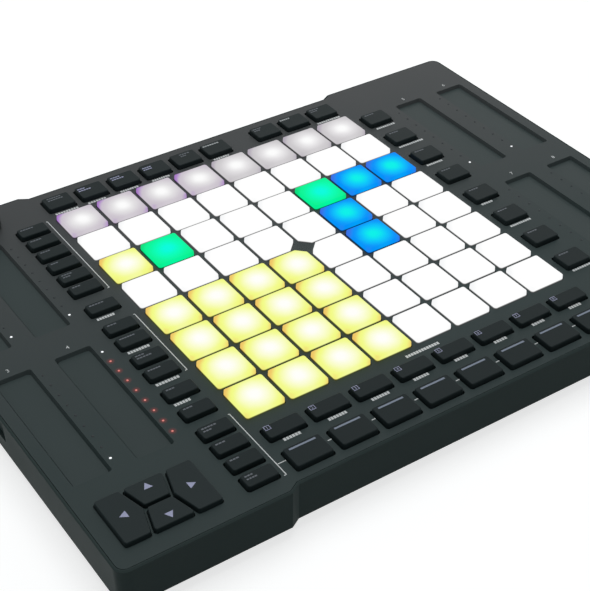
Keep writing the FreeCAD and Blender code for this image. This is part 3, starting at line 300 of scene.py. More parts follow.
screw_tree, start, end = growing_tree(
    "cross_head_screws", [("Head Radius", "NodeSocketFloat"), ("Head Height", "NodeSocketFloat"),
                          ("Shank Radius", "NodeSocketFloat"), ("Shank Length", "NodeSocketFloat"),
                          ("Metal", "NodeSocketMaterial")])
head = node_in(screw_tree, "GeometryNodeMeshCylinder",
               {"Vertices": 32, "Radius": start["Head Radius"], "Depth": start["Head Height"]})
wide_bar = node_in(screw_tree, "GeometryNodeMeshCube",
                   {"Size": (CROSS_LENGTH, CROSS_WIDTH, CROSS_DEPTH)})
deep_bar = node_in(screw_tree, "GeometryNodeMeshCube",
                   {"Size": (CROSS_WIDTH, CROSS_LENGTH, CROSS_DEPTH)})
cross = node_in(screw_tree, "GeometryNodeMeshBoolean", operation="UNION", solver="EXACT")
screw_tree.links.new(wide_bar.outputs["Mesh"], cross.inputs["Mesh 2"])
screw_tree.links.new(deep_bar.outputs["Mesh"], cross.inputs["Mesh 2"])
low_cross = node_in(screw_tree, "GeometryNodeTransform",
                    {"Geometry": cross.outputs["Mesh"],
                     "Translation": (0, 0, -CROSS_DEPTH / 2)})
recessed = node_in(screw_tree, "GeometryNodeMeshBoolean",
                   {"Mesh 1": head.outputs["Mesh"], "Mesh 2": low_cross.outputs[0]},
                   operation="DIFFERENCE", solver="EXACT")
shank = node_in(screw_tree, "GeometryNodeMeshCylinder",
                {"Vertices": 16, "Radius": start["Shank Radius"], "Depth": start["Shank Length"]})
both_lengths = maths(screw_tree, "ADD", start["Shank Length"], start["Head Height"])
lift_vector = node_in(screw_tree, "ShaderNodeCombineXYZ",
                      {"Z": maths(screw_tree, "MULTIPLY", both_lengths, 0.5)})
raised = node_in(screw_tree, "GeometryNodeTransform",
                 {"Geometry": shank.outputs["Mesh"], "Translation": lift_vector.outputs[0]})
screw = node_in(screw_tree, "GeometryNodeJoinGeometry")
screw_tree.links.new(recessed.outputs["Mesh"], screw.inputs[0])
screw_tree.links.new(raised.outputs[0], screw.inputs[0])
driven = node_in(screw_tree, "GeometryNodeInstanceOnPoints",
                 {"Points": start["Geometry"], "Instance": screw.outputs[0]})
end_tree(screw_tree, driven.outputs[0], start["Metal"], end)
case_screw_places = [(side * x, y, HEAD_MIDDLE) for side in (-1, 1) for x, y in SCREW_SPOTS]
cross_head_screws = grown("cross_head_screws", places_mesh(case_screw_places), screw_tree,
                          {"Head Radius": 0.0028, "Head Height": 0.0018,
                           "Shank Radius": 0.0012, "Shank Length": 0.015,
                           "Metal": plated_steel})
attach(cross_head_screws, "case")
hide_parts("case_screws")

# Touch strips. Eight satin plates under long wells in the panel, each with a row of nine
# light pipes beside it that end in small domed lenses; a few of the lamps are lit.

finish_node("touch_strips", moulded("satin_strip", colour(57, 67, 67), rough=0.4,
                                    grain=0.0003, relief=0.00001, specular=0.1))
finish_node("strip_light_pipes", moulded("clear_pipe", colour(52, 56, 58), rough=0.2,
                                         specular=0.1))

lens_tree, start, end = growing_tree(
    "domed_lenses", [("Radius", "NodeSocketFloat"), ("Rise", "NodeSocketFloat"),
                     ("Finish", "NodeSocketMaterial")])
ball = node_in(lens_tree, "GeometryNodeMeshUVSphere", {"Segments": 14, "Rings": 8, "Radius": 1.0})
squeeze = node_in(lens_tree, "ShaderNodeCombineXYZ",
                  {"X": start["Radius"], "Y": start["Radius"], "Z": start["Rise"]})
dome = node_in(lens_tree, "GeometryNodeTransform",
               {"Geometry": ball.outputs["Mesh"], "Scale": squeeze.outputs[0]})
seated = node_in(lens_tree, "GeometryNodeInstanceOnPoints",
                 {"Points": start["Geometry"], "Instance": dome.outputs[0]})
end_tree(lens_tree, seated.outputs[0], start["Finish"], end)


MIX_FIRST, MIX_SECOND, MIX_RESULT = 6, 7, 2    # a Mix node's colour sockets have no own names


def tone_mix(tree, factor, first, second):
    """A colour between two tones; the factor is an output from 0 to 1."""
    mixed = node_in(tree, "ShaderNodeMix",
                    {"Factor": factor, MIX_FIRST: first, MIX_SECOND: second}, data_type="RGBA")
    return mixed.outputs[MIX_RESULT]


def lamp_lens(name, tone, edge, strength):
    """A moulded lens over a lit lamp: bright in the middle, coloured towards its rim."""
    material, tree = blank_material(name)
    place = node_in(tree, "ShaderNodeTexCoord").outputs["Object"]
    specks = noise_in(tree, place, 900, 2)
    power = node_in(tree, "ShaderNodeMapRange",
                    {"Value": specks, "To Min": strength * 0.9, "To Max": strength * 1.1})
    shader = node_in(tree, "ShaderNodeBsdfPrincipled",
                     {"Base Color": scaled(tone, 0.2), "Roughness": 0.3,
                      "Normal": relief_in(tree, specks, 0.2, 0.00001),
                      "Emission Color": tone_mix(tree, specks, tone, edge),
                      "Emission Strength": power.outputs["Result"]})
    close_material(tree, shader.outputs["BSDF"])
    return material


LIGHT_PITCH = 0.008885
LIGHTS_IN_ROW = 9
LENS_SEAT = 0.0299
LENS_RADIUS = 0.00072
RED_LENS_RADIUS = 0.0006
LENS_RISE = 0.0004
REAR_LIGHT_Y = 0.0287
FRONT_LIGHT_Y = -0.0791
RED_LIGHT_X = -0.1361
STRIP_LIGHT_X = (-0.1695, RED_LIGHT_X, 0.1361, 0.1695)
dark_places = []
white_places = []
red_places = []
for light_x in STRIP_LIGHT_X:
    for first_y in (REAR_LIGHT_Y, FRONT_LIGHT_Y):
        for step in range(LIGHTS_IN_ROW):
            spot = (light_x, first_y + step * LIGHT_PITCH, LENS_SEAT)
            if light_x == RED_LIGHT_X and first_y == FRONT_LIGHT_Y:
                (white_places if step == LIGHTS_IN_ROW - 1 else red_places).append(spot)
            else:
                (dark_places if step else white_places).append(spot)
lens_groups = [
    ("dark_lenses", dark_places, LENS_RADIUS,
     moulded("unlit_lens", colour(58, 62, 64), rough=0.25, grain=0.0004, specular=0.1)),
    ("white_lenses", white_places, LENS_RADIUS,
     lamp_lens("white_lens", (1, 1, 1, 1), (0.8, 0.85, 0.9, 1), 1.0)),
    ("red_lenses", red_places, RED_LENS_RADIUS,
     lamp_lens("red_lens", colour(232, 150, 140), colour(190, 66, 52), 0.9)),
]
for name, places, radius, finish in lens_groups:
    lenses = grown(name, places_mesh(places), lens_tree,
                   {"Radius": radius, "Rise": LENS_RISE, "Finish": finish})
    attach(lenses, "case")

# Display. A smoked window glued flush into the panel over a small screen that shows eight
# level bars.


def block_outline(left, front, right, rear):
    """The four corners of an upright rectangle, counter-clockwise."""
    return [(left, front), (right, front), (right, rear), (left, rear)]


def add_prism(shape, outline, low, high):
    """A thin closed plate: one flat outline, counter-clockwise, between two heights."""
    bottom = [shape.verts.new((x, y, low)) for x, y in outline]
    top = [shape.verts.new((x, y, high)) for x, y in outline]
    shape.faces.new(list(reversed(bottom)))
    shape.faces.new(top)
    count = len(outline)
    for index in range(count):
        after = (index + 1) % count
        shape.faces.new((bottom[index], bottom[after], top[after], top[index]))


def plates(name, outlines, low, high, material):
    """One piece of several thin plates between two heights."""
    shape = bmesh.new()
    for outline in outlines:
        add_prism(shape, outline, low, high)
    mesh = bpy.data.meshes.new(name)
    shape.to_mesh(mesh)
    shape.free()
    mesh.materials.append(material)
    return new_piece(name, mesh)


finish_node("display_module", moulded("screen_module", colour(28, 29, 31), rough=0.5))
finish_node("display_window", moulded("smoked_window", colour(10, 12, 14), rough=0.12,
                                      grain=0.002, relief=0.000002, mottle=0.03, specular=0.5))
WINDOW_TOP = 0.0299
BARS_LEFT = -0.1892
BARS_RIGHT = -0.1556
BARS_FOOT = 0.1195
BAR_PITCH = 0.0044
BAR_WIDTH = 0.0028
LEVEL_RISE = 0.00115
BASE_LINE = (0.1180, 0.1184)
BAR_SUNK = 0.00002
BAR_PROUD = 0.00003
level_bars = []
for step, level in enumerate((9, 6, 11, 4, 7, 12, 5, 8)):
    left = BARS_LEFT + step * BAR_PITCH
    level_bars.append(block_outline(left, BARS_FOOT, left + BAR_WIDTH,
                                    BARS_FOOT + level * LEVEL_RISE))
level_bars.append(block_outline(BARS_LEFT, BASE_LINE[0], BARS_RIGHT, BASE_LINE[1]))
screen_glow = lamp_lens("screen_glow", colour(206, 222, 230), colour(150, 176, 190), 0.8)
screen_bars = plates("screen_bars", level_bars, WINDOW_TOP - BAR_SUNK, WINDOW_TOP + BAR_PROUD,
                     screen_glow)
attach(screen_bars, "case")

# Push dial. A turned plastic knob with fine ribs round its side and a dished top, pressed on
# the flat of the encoder's steel shaft.

encoder_metal = moulded("encoder_metal", colour(165, 165, 170), rough=0.3, grain=0.0003,
                        relief=0.00001, metal=1.0, specular=0.5)
for name in ("encoder_body", "encoder_plunger", "encoder_shaft"):
    finish_node(name, encoder_metal)

DIAL_PLACE = Vector((-0.138, 0.126, 0.0))
KNOB_PROFILE = [(0.0047, 0.0312), (0.0068, 0.0310), (0.0073, 0.0314), (0.0073, 0.0326),
                (0.0070, 0.0330), (0.0068, 0.0420), (0.0066, 0.0429), (0.0060, 0.0434),
                (0.0052, 0.0435), (0.0046, 0.0432), (0.0030, 0.0429), (0.0014, 0.0428)]
RIB_COUNT = 36
RIB_REACH = 0.0068
RIB_RADIUS = 0.00035
RIB_LENGTH = 0.0088
RIB_MIDDLE = 0.0373


def turned(name, profile, centre, count=96):
    """A solid turned from a profile of radius and height, closed at both ends."""
    shape = bmesh.new()
    rings = []
    for radius, height in profile:
        ring = []
        for step in range(count):
            angle = 2 * math.pi * step / count
            ring.append(shape.verts.new((centre.x + radius * math.cos(angle),
                                         centre.y + radius * math.sin(angle), height)))
        rings.append(ring)
    for low, high in zip(rings, rings[1:]):
        for step in range(count):
            after = (step + 1) % count
            shape.faces.new((low[step], low[after], high[after], high[step]))
    shape.faces.new(list(reversed(rings[0])))
    top = shape.verts.new((centre.x, centre.y, profile[-1][1]))
    for step in range(count):
        shape.faces.new((rings[-1][step], rings[-1][(step + 1) % count], top))
    mesh = bpy.data.meshes.new(name)
    shape.to_mesh(mesh)
    shape.free()
    return mesh


rib_tree, start, end = growing_tree(
    "ribbed_knob", [("Ribs", "NodeSocketInt"), ("Reach", "NodeSocketFloat"),
                    ("Rib Radius", "NodeSocketFloat"), ("Rib Length", "NodeSocketFloat"),
                    ("Centre", "NodeSocketVector"), ("Finish", "NodeSocketMaterial")])
ring_of_places = node_in(rib_tree, "GeometryNodeMeshCircle",
                         {"Vertices": start["Ribs"], "Radius": start["Reach"]})
rib = node_in(rib_tree, "GeometryNodeMeshCylinder",
              {"Vertices": 8, "Radius": start["Rib Radius"], "Depth": start["Rib Length"]})
ribs = node_in(rib_tree, "GeometryNodeInstanceOnPoints",
               {"Points": ring_of_places.outputs["Mesh"], "Instance": rib.outputs["Mesh"]})
placed_ribs = node_in(rib_tree, "GeometryNodeTransform",
                      {"Geometry": ribs.outputs[0], "Translation": start["Centre"]})
knob_whole = node_in(rib_tree, "GeometryNodeJoinGeometry")
rib_tree.links.new(start["Geometry"], knob_whole.inputs[0])
rib_tree.links.new(placed_ribs.outputs[0], knob_whole.inputs[0])
end_tree(rib_tree, knob_whole.outputs[0], start["Finish"], end)
knob_plastic = moulded("satin_knob_plastic", colour(44, 48, 49), rough=0.42, grain=0.0004,
                       specular=0.15)
ribbed_knob = grown("ribbed_knob", turned("knob_core", KNOB_PROFILE, DIAL_PLACE), rib_tree,
                    {"Ribs": RIB_COUNT, "Reach": RIB_REACH, "Rib Radius": RIB_RADIUS,
                     "Rib Length": RIB_LENGTH, "Finish": knob_plastic,
                     "Centre": DIAL_PLACE + Vector((0, 0, RIB_MIDDLE))})
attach(ribbed_knob, "dial")
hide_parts("encoder_knob")

# Top panel. A charcoal ABS plate, moulded with a fine grain, that drops into the frame's
# rim and has an opening for every pad and key; painted sheen lightens it towards the rear,
# and round the red lamps it has a faint painted red glow.

PANEL_TOP = 0.030
# painted sheen: the panel's tone runs from its front colour at the first Y to its lighter rear
# colour at the second
PAINTED_SHEEN_START_Y = -0.06
PAINTED_SHEEN_FULL_Y = 0.14
# painted red glow of the red lamps on the panel round each of their lenses
HALO_START = 0.0006
HALO_END = 0.0028
HALO_STRENGTH = 0.11


def panel_finish(name, tone, painted_sheen_tone, rough):
    """Grained plastic with painted sheen that lightens its tone along Y, and a faint painted red
    glow round each red light.
    """
    material, tree = blank_material(name)
    place = node_in(tree, "ShaderNodeTexCoord").outputs["Object"]
    clouds = noise_in(tree, place, 14, 5, 0.6)
    grains = noise_in(tree, place, 2200, 2)
    half = maths(tree, "MULTIPLY", maths(tree, "ADD", clouds, grains), 0.5)
    cloudy = ramp_in(tree, half, [(NOISE_FAINT, (0.94, 0.94, 0.94, 1)),
                                  (NOISE_FULL, (1.06, 1.06, 1.06, 1))])
    split = node_in(tree, "ShaderNodeSeparateXYZ", {"Vector": place}).outputs
    # painted sheen: the tone grows lighter towards the rear
    painted_sheen_share = node_in(tree, "ShaderNodeMapRange",
                       {"Value": split["Y"], "From Min": PAINTED_SHEEN_START_Y, "From Max": PAINTED_SHEEN_FULL_Y})
    sheen_toned = tone_mix(tree, painted_sheen_share.outputs["Result"], tone, painted_sheen_tone)
    base = node_in(tree, "ShaderNodeVectorMath", {0: cloudy, 1: sheen_toned}, operation="MULTIPLY")

    # painted red glow: emission on the panel, fading with distance from the nearest red lens
    aside = maths(tree, "SUBTRACT", split["X"], RED_LIGHT_X)
    along = maths(tree, "SUBTRACT", split["Y"], FRONT_LIGHT_Y)
    steps = maths(tree, "DIVIDE", along, LIGHT_PITCH)
    nearest = maths(tree, "MAXIMUM", maths(tree, "ROUND", steps), 0.0)
    nearest = maths(tree, "MINIMUM", nearest, LIGHTS_IN_ROW - 2.0)
    off = maths(tree, "MULTIPLY", maths(tree, "SUBTRACT", steps, nearest), LIGHT_PITCH)
    spot = node_in(tree, "ShaderNodeCombineXYZ", {"X": aside, "Y": off})
    reach = node_in(tree, "ShaderNodeVectorMath", {0: spot.outputs[0]}, operation="LENGTH")
    halo = node_in(tree, "ShaderNodeMapRange",
                   {"Value": reach.outputs["Value"], "From Min": HALO_START,
                    "From Max": HALO_END, "To Min": HALO_STRENGTH, "To Max": 0.0},
                   interpolation_type="SMOOTHERSTEP")
    shader = node_in(tree, "ShaderNodeBsdfPrincipled",
                     {"Base Color": base.outputs["Vector"],
                      "Roughness": polished(tree, clouds, rough, 0.04),
                      "Normal": relief_in(tree, grains, 0.6, 0.00002),
                      "Specular IOR Level": 0.12, "Emission Color": colour(225, 50, 50),
                      "Emission Strength": halo.outputs["Result"]})
    close_material(tree, shader.outputs["BSDF"])
    return material


# the second colour is the lighter rear tone of the painted sheen
finish_node("top_panel", panel_finish("charcoal_panel_painted_sheen", colour(50, 61, 61),
                                      colour(71, 73, 74), 0.5))

# Panel print. White ink, a little proud of the panel: fine lines beside the key groups, a
# number behind each touch strip, and rows of small plain blocks beside the keys.

PRINT_PROUD = 0.00004
PRINT_SUNK = 0.00001
PRINT_WELD = 0.0000005


def print_ink(name, tone):
    """Pad-printed ink, a little thinner in specks."""
    material, tree = blank_material(name)
    place = node_in(tree, "ShaderNodeTexCoord").outputs["Object"]
    specks = noise_in(tree, place, 1500, 3)
    base = ramp_in(tree, specks, [(NOISE_FAINT, scaled(tone, 0.86)), (NOISE_FULL, tone)])
    shader = node_in(tree, "ShaderNodeBsdfPrincipled",
                     {"Base Color": base, "Roughness": 0.5,
                      "Normal": relief_in(tree, specks, 0.4, 0.00001)})
    close_material(tree, shader.outputs["BSDF"])
    return material


def bar(x, y, length, depth):
    """A small bar about its middle, in millimetres, made in metres."""
    return block_outline((x - length / 2) / 1000, (y - depth / 2) / 1000,
                         (x + length / 2) / 1000, (y + depth / 2) / 1000)


def numeral_mesh(words, x, y, height, top):
    """A printed number, in millimetres, as a thin closed mesh."""
    letters = bpy.data.curves.new("numeral", "FONT")
    letters.body = words
    letters.size = height / 1000
    letters.extrude = (PRINT_PROUD + PRINT_SUNK) / 2
    letters.align_x = "CENTER"
    letters.align_y = "CENTER"
    letters.resolution_u = 3
    holder = bpy.data.objects.new("numeral", letters)
    bpy.context.collection.objects.link(holder)
    reading = bpy.context.evaluated_depsgraph_get()
    mesh = bpy.data.meshes.new_from_object(holder.evaluated_get(reading))
    bpy.data.objects.remove(holder)
    middle = top + (PRINT_PROUD - PRINT_SUNK) / 2
    mesh.transform(Matrix.Translation((x / 1000, y / 1000, middle)))
    return mesh


def printed(name, outlines, numerals, top, material, body):
    """One printed layer: bars and numbers on one surface, as a piece that rides with it."""
    shape = bmesh.new()
    for outline in outlines:
        add_prism(shape, outline, top - PRINT_SUNK, top + PRINT_PROUD)
    for words, x, y, height in numerals:
        shape.from_mesh(numeral_mesh(words, x, y, height, top))
    bmesh.ops.remove_doubles(shape, verts=shape.verts, dist=PRINT_WELD)
    bmesh.ops.recalc_face_normals(shape, faces=shape.faces)
    mesh = bpy.data.meshes.new(name)
    shape.to_mesh(mesh)
    shape.free()
    mesh.materials.clear()
    mesh.materials.append(material)
    for polygon in mesh.polygons:
        polygon.material_index = 0
    piece = new_piece(name, mesh)
    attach(piece, body)
    return piece


white_ink = print_ink("white_print", colour(226, 228, 228))

# Places on the panel are in millimetres from its middle, as on a print drawing.
KEYS_IN_ROW = 8
KEY_PITCH = 26
GROUP_LINE_X = -107.2
GROUP_SPANS = ((113.4, 38.4), (10.4, -44.0), (-84.0, -133.8))
LINE_WIDTH = 0.5
REAR_HOOK = 0.8
FRONT_HOOK = 1.2
TICK_PLACE = (GROUP_LINE_X + 2.7, -125.9)
TICK_LENGTH = 4.6
DASH_START = (-77.25, -125.85)
DASH_SIZE = (2.2, 0.6)
group_lines = []
for rear, front in GROUP_SPANS:
    group_lines.append(bar(GROUP_LINE_X, (rear + front) / 2, LINE_WIDTH, rear - front))
    for y, hook in ((rear, REAR_HOOK), (front, FRONT_HOOK)):
        group_lines.append(bar(GROUP_LINE_X - hook / 2, y, hook, LINE_WIDTH))
group_lines.append(bar(*TICK_PLACE, TICK_LENGTH, LINE_WIDTH))
for step in range(KEYS_IN_ROW - 1):
    group_lines.append(bar(DASH_START[0] + KEY_PITCH * step, DASH_START[1], *DASH_SIZE))
TOP_LEGENDS = ((-92.7, 117.1, 14.8), (-73.1, 117.1, 11.8), (-51.4, 117.4, 12.1),
               (-30.0, 117.4, 12.0), (12.7, 117.4, 11.2), (93.0, 117.5, 17.4))
SCENE_LEGENDS = ((119.1, -89.5, 15.0), (118.9, -37.9, 15.3), (116.0, -11.4, 8.4),
                 (117.7, 40.0, 12.0), (119.6, 66.1, 18.7), (119.0, 91.6, 14.3))
LEFT_LEGENDS = ((-121.0, 16.6, 10.5), (-119.7, -16.5, 12.7), (-119.7, -46.1, 13.5),
                (-121.7, -64.0, 9.3))
SELECT_LEGENDS = ((-90.6, -113.8, 10.0), (-64.3, -114.1, 11.0), (-38.4, -114.1, 11.0),
                  (-12.8, -113.7, 9.5), (13.1, -113.4, 8.4), (39.2, -113.4, 8.4),
                  (65.2, -113.3, 8.4), (91.0, -113.4, 8.4))
PAD_LEGEND = (0.8, -97.4, 21.5)
BLOCK_PITCH = 1.6
BLOCK_SHARE = 0.8
FEWEST_BLOCKS = 3
SMALL_PRINT = 1.6
LARGE_PRINT = 1.9


def legend(x, y, length, depth=LARGE_PRINT):
    """A line of print as a row of small plain blocks about its middle."""
    count = max(FEWEST_BLOCKS, round(length / BLOCK_PITCH))
    pitch = length / count
    return [bar(x + (step - (count - 1) / 2) * pitch, y, pitch * BLOCK_SHARE, depth)
            for step in range(count)]


legend_bars = legend(*PAD_LEGEND)
for x, y, length in TOP_LEGENDS + SCENE_LEGENDS:
    legend_bars += legend(x, y, length, SMALL_PRINT)
for x, y, length in LEFT_LEGENDS + SELECT_LEGENDS:
    legend_bars += legend(x, y, length)
STRIP_NUMBERS = ((-182.6, 1), (-149.2, 2), (149.2, 5), (182.6, 6))
REAR_NUMBER_Y = 112.6
FRONT_NUMBER_Y = 4.9
NUMBER_HEIGHT = 3.6
strip_numbers = []
for x, first in STRIP_NUMBERS:
    strip_numbers.append((str(first), x, REAR_NUMBER_Y, NUMBER_HEIGHT))
    strip_numbers.append((str(first + 2), x, FRONT_NUMBER_Y, NUMBER_HEIGHT))
printed("panel_print", group_lines + legend_bars, strip_numbers, PANEL_TOP, white_ink,
        "case")

# Pads. Each row is eight blocks of milky silicone that glow with the colour of the lamp
# below: white over the lamp, deeper towards the corners, and dimmed by painted shade at
# the foot of each side.

PAD_PITCH = 0.026
PADS_IN_ROW = 8
GRID_Y = 0.010
LAMPS = {
    "white": ((255, 255, 255), (255, 255, 255), (255, 255, 255), (246, 247, 248)),
    "lilac": ((252, 252, 252), (228, 226, 228), (204, 201, 204), (180, 172, 184)),
    "violet": ((252, 252, 252), (226, 224, 226), (203, 195, 205), (170, 124, 200)),
    "yellow": ((255, 254, 250), (251, 253, 210), (242, 250, 134), (240, 200, 104)),
    "green": ((0, 250, 220), (0, 253, 184), (4, 244, 150), (8, 222, 126)),
    "blue": ((0, 240, 232), (0, 200, 250), (2, 144, 250), (56, 112, 230)),
}
GLOW_STEPS = ((0.05, 0.30), (0.22, 0.50), (0.48, 0.64))
CORNER_PULL = -0.28
REAR_LEFT_PULL = 0.06
HAZE_SPREAD = 0.04
# painted shade at the foot of each pad's side: below the second height the glow falls to the given
# share at the first
PAINTED_SHADE_LOW = 0.0301
PAINTED_SHADE_END = 0.0307
SHADED_FOOT_GLOW = 0.08


def lit_silicone(name, lamps, row_y):
    """Milky silicone over a row of eight lamps, from left to right, with painted shade at the foot
    of its sides.
    """
    material, tree = blank_material(name)
    place = node_in(tree, "ShaderNodeTexCoord").outputs["Object"]
    split = node_in(tree, "ShaderNodeSeparateXYZ", {"Vector": place}).outputs
    along = maths(tree, "ADD", split["X"], PADS_IN_ROW / 2 * PAD_PITCH)
    cells = maths(tree, "DIVIDE", along, PAD_PITCH)
    share = maths(tree, "DIVIDE", cells, float(PADS_IN_ROW))
    across = maths(tree, "SUBTRACT", maths(tree, "FRACT", cells), 0.5)
    depth = maths(tree, "DIVIDE", maths(tree, "SUBTRACT", split["Y"], row_y), PAD_PITCH)
    spot = node_in(tree, "ShaderNodeCombineXYZ", {"X": across, "Y": depth})
    radius = node_in(tree, "ShaderNodeVectorMath", {0: spot.outputs[0]}, operation="LENGTH")
    haze = noise_in(tree, place, 140, 3)
    haze_shift = node_in(tree, "ShaderNodeMapRange",
                         {"Value": haze, "To Min": -HAZE_SPREAD, "To Max": HAZE_SPREAD})
    far_corner = maths(tree, "MULTIPLY_ADD", maths(tree, "MULTIPLY", across, depth),
                       CORNER_PULL, haze_shift.outputs["Result"])
    shifted = maths(tree, "MULTIPLY_ADD", maths(tree, "SUBTRACT", depth, across),
                    REAR_LEFT_PULL, far_corner)
    reach = maths(tree, "ADD", radius.outputs["Value"], shifted)
    tones = []
    for level in range(len(GLOW_STEPS) + 1):
        stops = [(index / PADS_IN_ROW, colour(*LAMPS[lamp][level]))
                 for index, lamp in enumerate(lamps)]
        tones.append(ramp_in(tree, share, stops, "CONSTANT"))
    glow = tones[0]
    for (low, high), tone in zip(GLOW_STEPS, tones[1:]):
        step = node_in(tree, "ShaderNodeMapRange",
                       {"Value": reach, "From Min": low, "From Max": high},
                       interpolation_type="SMOOTHSTEP")
        glow = tone_mix(tree, step.outputs["Result"], glow, tone)
    # painted shade: the glow dims towards the foot of each pad's side, next to the gap in the
    # panel
    painted_foot_shade = node_in(tree, "ShaderNodeMapRange",
                   {"Value": split["Z"], "From Min": PAINTED_SHADE_LOW, "From Max": PAINTED_SHADE_END,
                    "To Min": SHADED_FOOT_GLOW, "To Max": 1.0})
    foot_shaded_glow = node_in(tree, "ShaderNodeVectorMath", {0: glow, "Scale": painted_foot_shade.outputs["Result"]},
                    operation="SCALE")
    shader = node_in(tree, "ShaderNodeBsdfPrincipled",
                     {"Base Color": (0.002, 0.002, 0.002, 1), "Roughness": 0.55,
                      "Specular IOR Level": 0.01,
                      "Normal": relief_in(tree, haze, 0.2, 0.00005),
                      "Emission Color": foot_shaded_glow.outputs["Vector"], "Emission Strength": 1.0})
    close_material(tree, shader.outputs["BSDF"])
    return material


W, Y, G, B, L, V = "white", "yellow", "green", "blue", "lilac", "violet"
PAD_LAMPS = [
    [V, V, V, V, L, L, L, L],
    [W, W, W, W, W, W, W, W],
    [Y, G, W, W, W, G, B, B],
    [W, W, W, W, W, B, W, W],
    [Y, Y, Y, Y, W, B, W, W],
    [Y, Y, Y, Y, W, W, W, W],
    [Y, Y, Y, Y, W, W, W, W],
    [Y, Y, Y, Y, W, W, W, W],
]
for number, lamps in enumerate(PAD_LAMPS, start=1):
    row_y = GRID_Y + PAD_PITCH * ((PADS_IN_ROW + 1) / 2 - number)
    finish_node("pads_row_%d" % number, lit_silicone("glowing_silicone_%d" % number, lamps, row_y))

# Keys. Black silicone caps with soft edges: a row behind the pads, two columns beside them
# and two rows in front; the arrow keys are hard plastic. Each carries a small pale print.

KEY_TOP = 0.0326
key_rubber = moulded("key_rubber", colour(34, 42, 43), rough=0.45, grain=0.0006,
                     relief=0.00001, mottle=0.05, specular=0.07)
KEY_GROUPS = ["top_keys_left", "top_keys_right", "scene_keys", "left_keys_back",
              "left_key_upper", "left_pair_back", "left_pair_front", "left_key_lower_back",
              "left_key_lower_front", "left_keys_front", "track_select_keys",
              "track_control_keys", "play_key", "record_key", "stop_key"]
for name in KEY_GROUPS:
    finish_node(name, key_rubber)
key_plastic = moulded("arrow_key_plastic", colour(36, 45, 46), rough=0.45, grain=0.0005,
                      relief=0.00001, mottle=0.05, specular=0.09)
ARROW_KEYS = ["arrow_left_key", "arrow_up_key", "arrow_down_key", "arrow_right_key"]
for name in ARROW_KEYS:
    finish_node(name, key_plastic)

lavender_ink = print_ink("lavender_print", colour(170, 172, 204))
word_ink = print_ink("word_print", colour(176, 180, 182))
faint_ink = print_ink("faint_print", colour(88, 94, 102))
slate_ink = print_ink("slate_print", colour(128, 138, 156))

FIRST_CONTROL_LINE = (-91.1, -123.1)
CONTROL_LINE_SIZE = (15.0, 1.1)
control_lines = [bar(FIRST_CONTROL_LINE[0] + KEY_PITCH * step, FIRST_CONTROL_LINE[1],
                     *CONTROL_LINE_SIZE) for step in range(KEYS_IN_ROW)]
printed("control_key_print", control_lines, [], KEY_TOP, slate_ink,
        "track_control_keys_body")

FIRST_BOX = (-98.9, -104.8)
BOX_SIZE = 3.0
BOX_LINE = 0.3
BOX_NUMBER_HEIGHT = 2.4
select_boxes = []
select_numbers = []
for step in range(KEYS_IN_ROW):
    x = FIRST_BOX[0] + KEY_PITCH * step
    y = FIRST_BOX[1]
    for side in (-0.5, 0.5):
        select_boxes.append(bar(x + side * BOX_SIZE, y, BOX_LINE, BOX_SIZE))
        select_boxes.append(bar(x, y + side * (BOX_SIZE - BOX_LINE), BOX_SIZE - BOX_LINE,
                                BOX_LINE))
    select_numbers.append((str(step + 1), x, y, BOX_NUMBER_HEIGHT))
printed("select_key_print", select_boxes, select_numbers, KEY_TOP, lavender_ink,
        "track_select_keys_body")

KEY_PRINT = 0.9
KEY_LINE_STEP = 2.0
WORD_PRINT = 1.2


def key_legends(name, places, body, ink):
    """One or two short pale lines near the rear left corner of each key."""
    outlines = []
    for x, y, first, second in places:
        outlines += legend(x + first / 2, y, first, KEY_PRINT)
        if second:
            outlines += legend(x + second / 2, y - KEY_LINE_STEP, second, KEY_PRINT)
    return printed(name, outlines, [], KEY_TOP, ink, body)


TOP_KEY_Y = 126.1
key_legends("top_left_print", [(-79.5, TOP_KEY_Y + 3.6, 5.0, 8.0),
                               (-57.6, TOP_KEY_Y + 3.6, 6.4, 8.0),
                               (-36.4, TOP_KEY_Y + 2.8, 6.2, 5.8)],
            "top_keys_left_body", lavender_ink)
key_legends("top_left_faint_print", [(-99.2, TOP_KEY_Y + 4.2, 9.0, 9.6),
                                     (-10.0, TOP_KEY_Y + 3.9, 7.2, 4.0)],
            "top_keys_left_body", faint_ink)
key_legends("top_right_faint_print", [(43.4, TOP_KEY_Y + 4.0, 6.0, 4.4),
                                      (86.4, TOP_KEY_Y + 4.0, 7.0, 5.0)],
            "top_keys_right_body", faint_ink)
printed("top_left_word_print", legend(12.5, 130.0, 11.4, WORD_PRINT), [], KEY_TOP, word_ink,
        "top_keys_left_body")
printed("top_right_word_print", legend(67.5, 130.0, 7.4, WORD_PRINT), [], KEY_TOP, word_ink,
        "top_keys_right_body")
SCENE_KEY_Y = -81.2
key_legends("scene_print", [(112.2, SCENE_KEY_Y + KEY_PITCH * row + 4.3, 7.0, 0)
                            for row in range(KEYS_IN_ROW)], "scene_keys_body", faint_ink)
LEFT_PRINT_X = -125.8
LEFT_PRINT_RISE = 2.3
LEFT_KEY_PRINTS = [
    ("left_keys_back", [(43.25, 5.0, 0), (56.05, 6.4, 4.6), (68.85, 4.6, 0), (81.65, 6.0, 0),
                        (94.45, 7.0, 0), (107.25, 8.0, 0)]),
    ("left_key_upper", [(23.75, 8.6, 0)]),
    ("left_pair_back", [(-9.55, 9.0, 0), (3.65, 5.6, 0)]),
    ("left_pair_front", [(-39.25, 7.4, 0), (-26.05, 5.4, 8.6)]),
    ("left_key_lower_back", [(-57.2, 5.0, 0)]),
    ("left_key_lower_front", [(-73.8, 5.4, 0)]),
    ("left_keys_front", [(-129.2, 4.6, 5.8), (-116.4, 5.2, 0), (-103.6, 5.6, 0),
                         (-90.8, 8.4, 4.8)]),
]
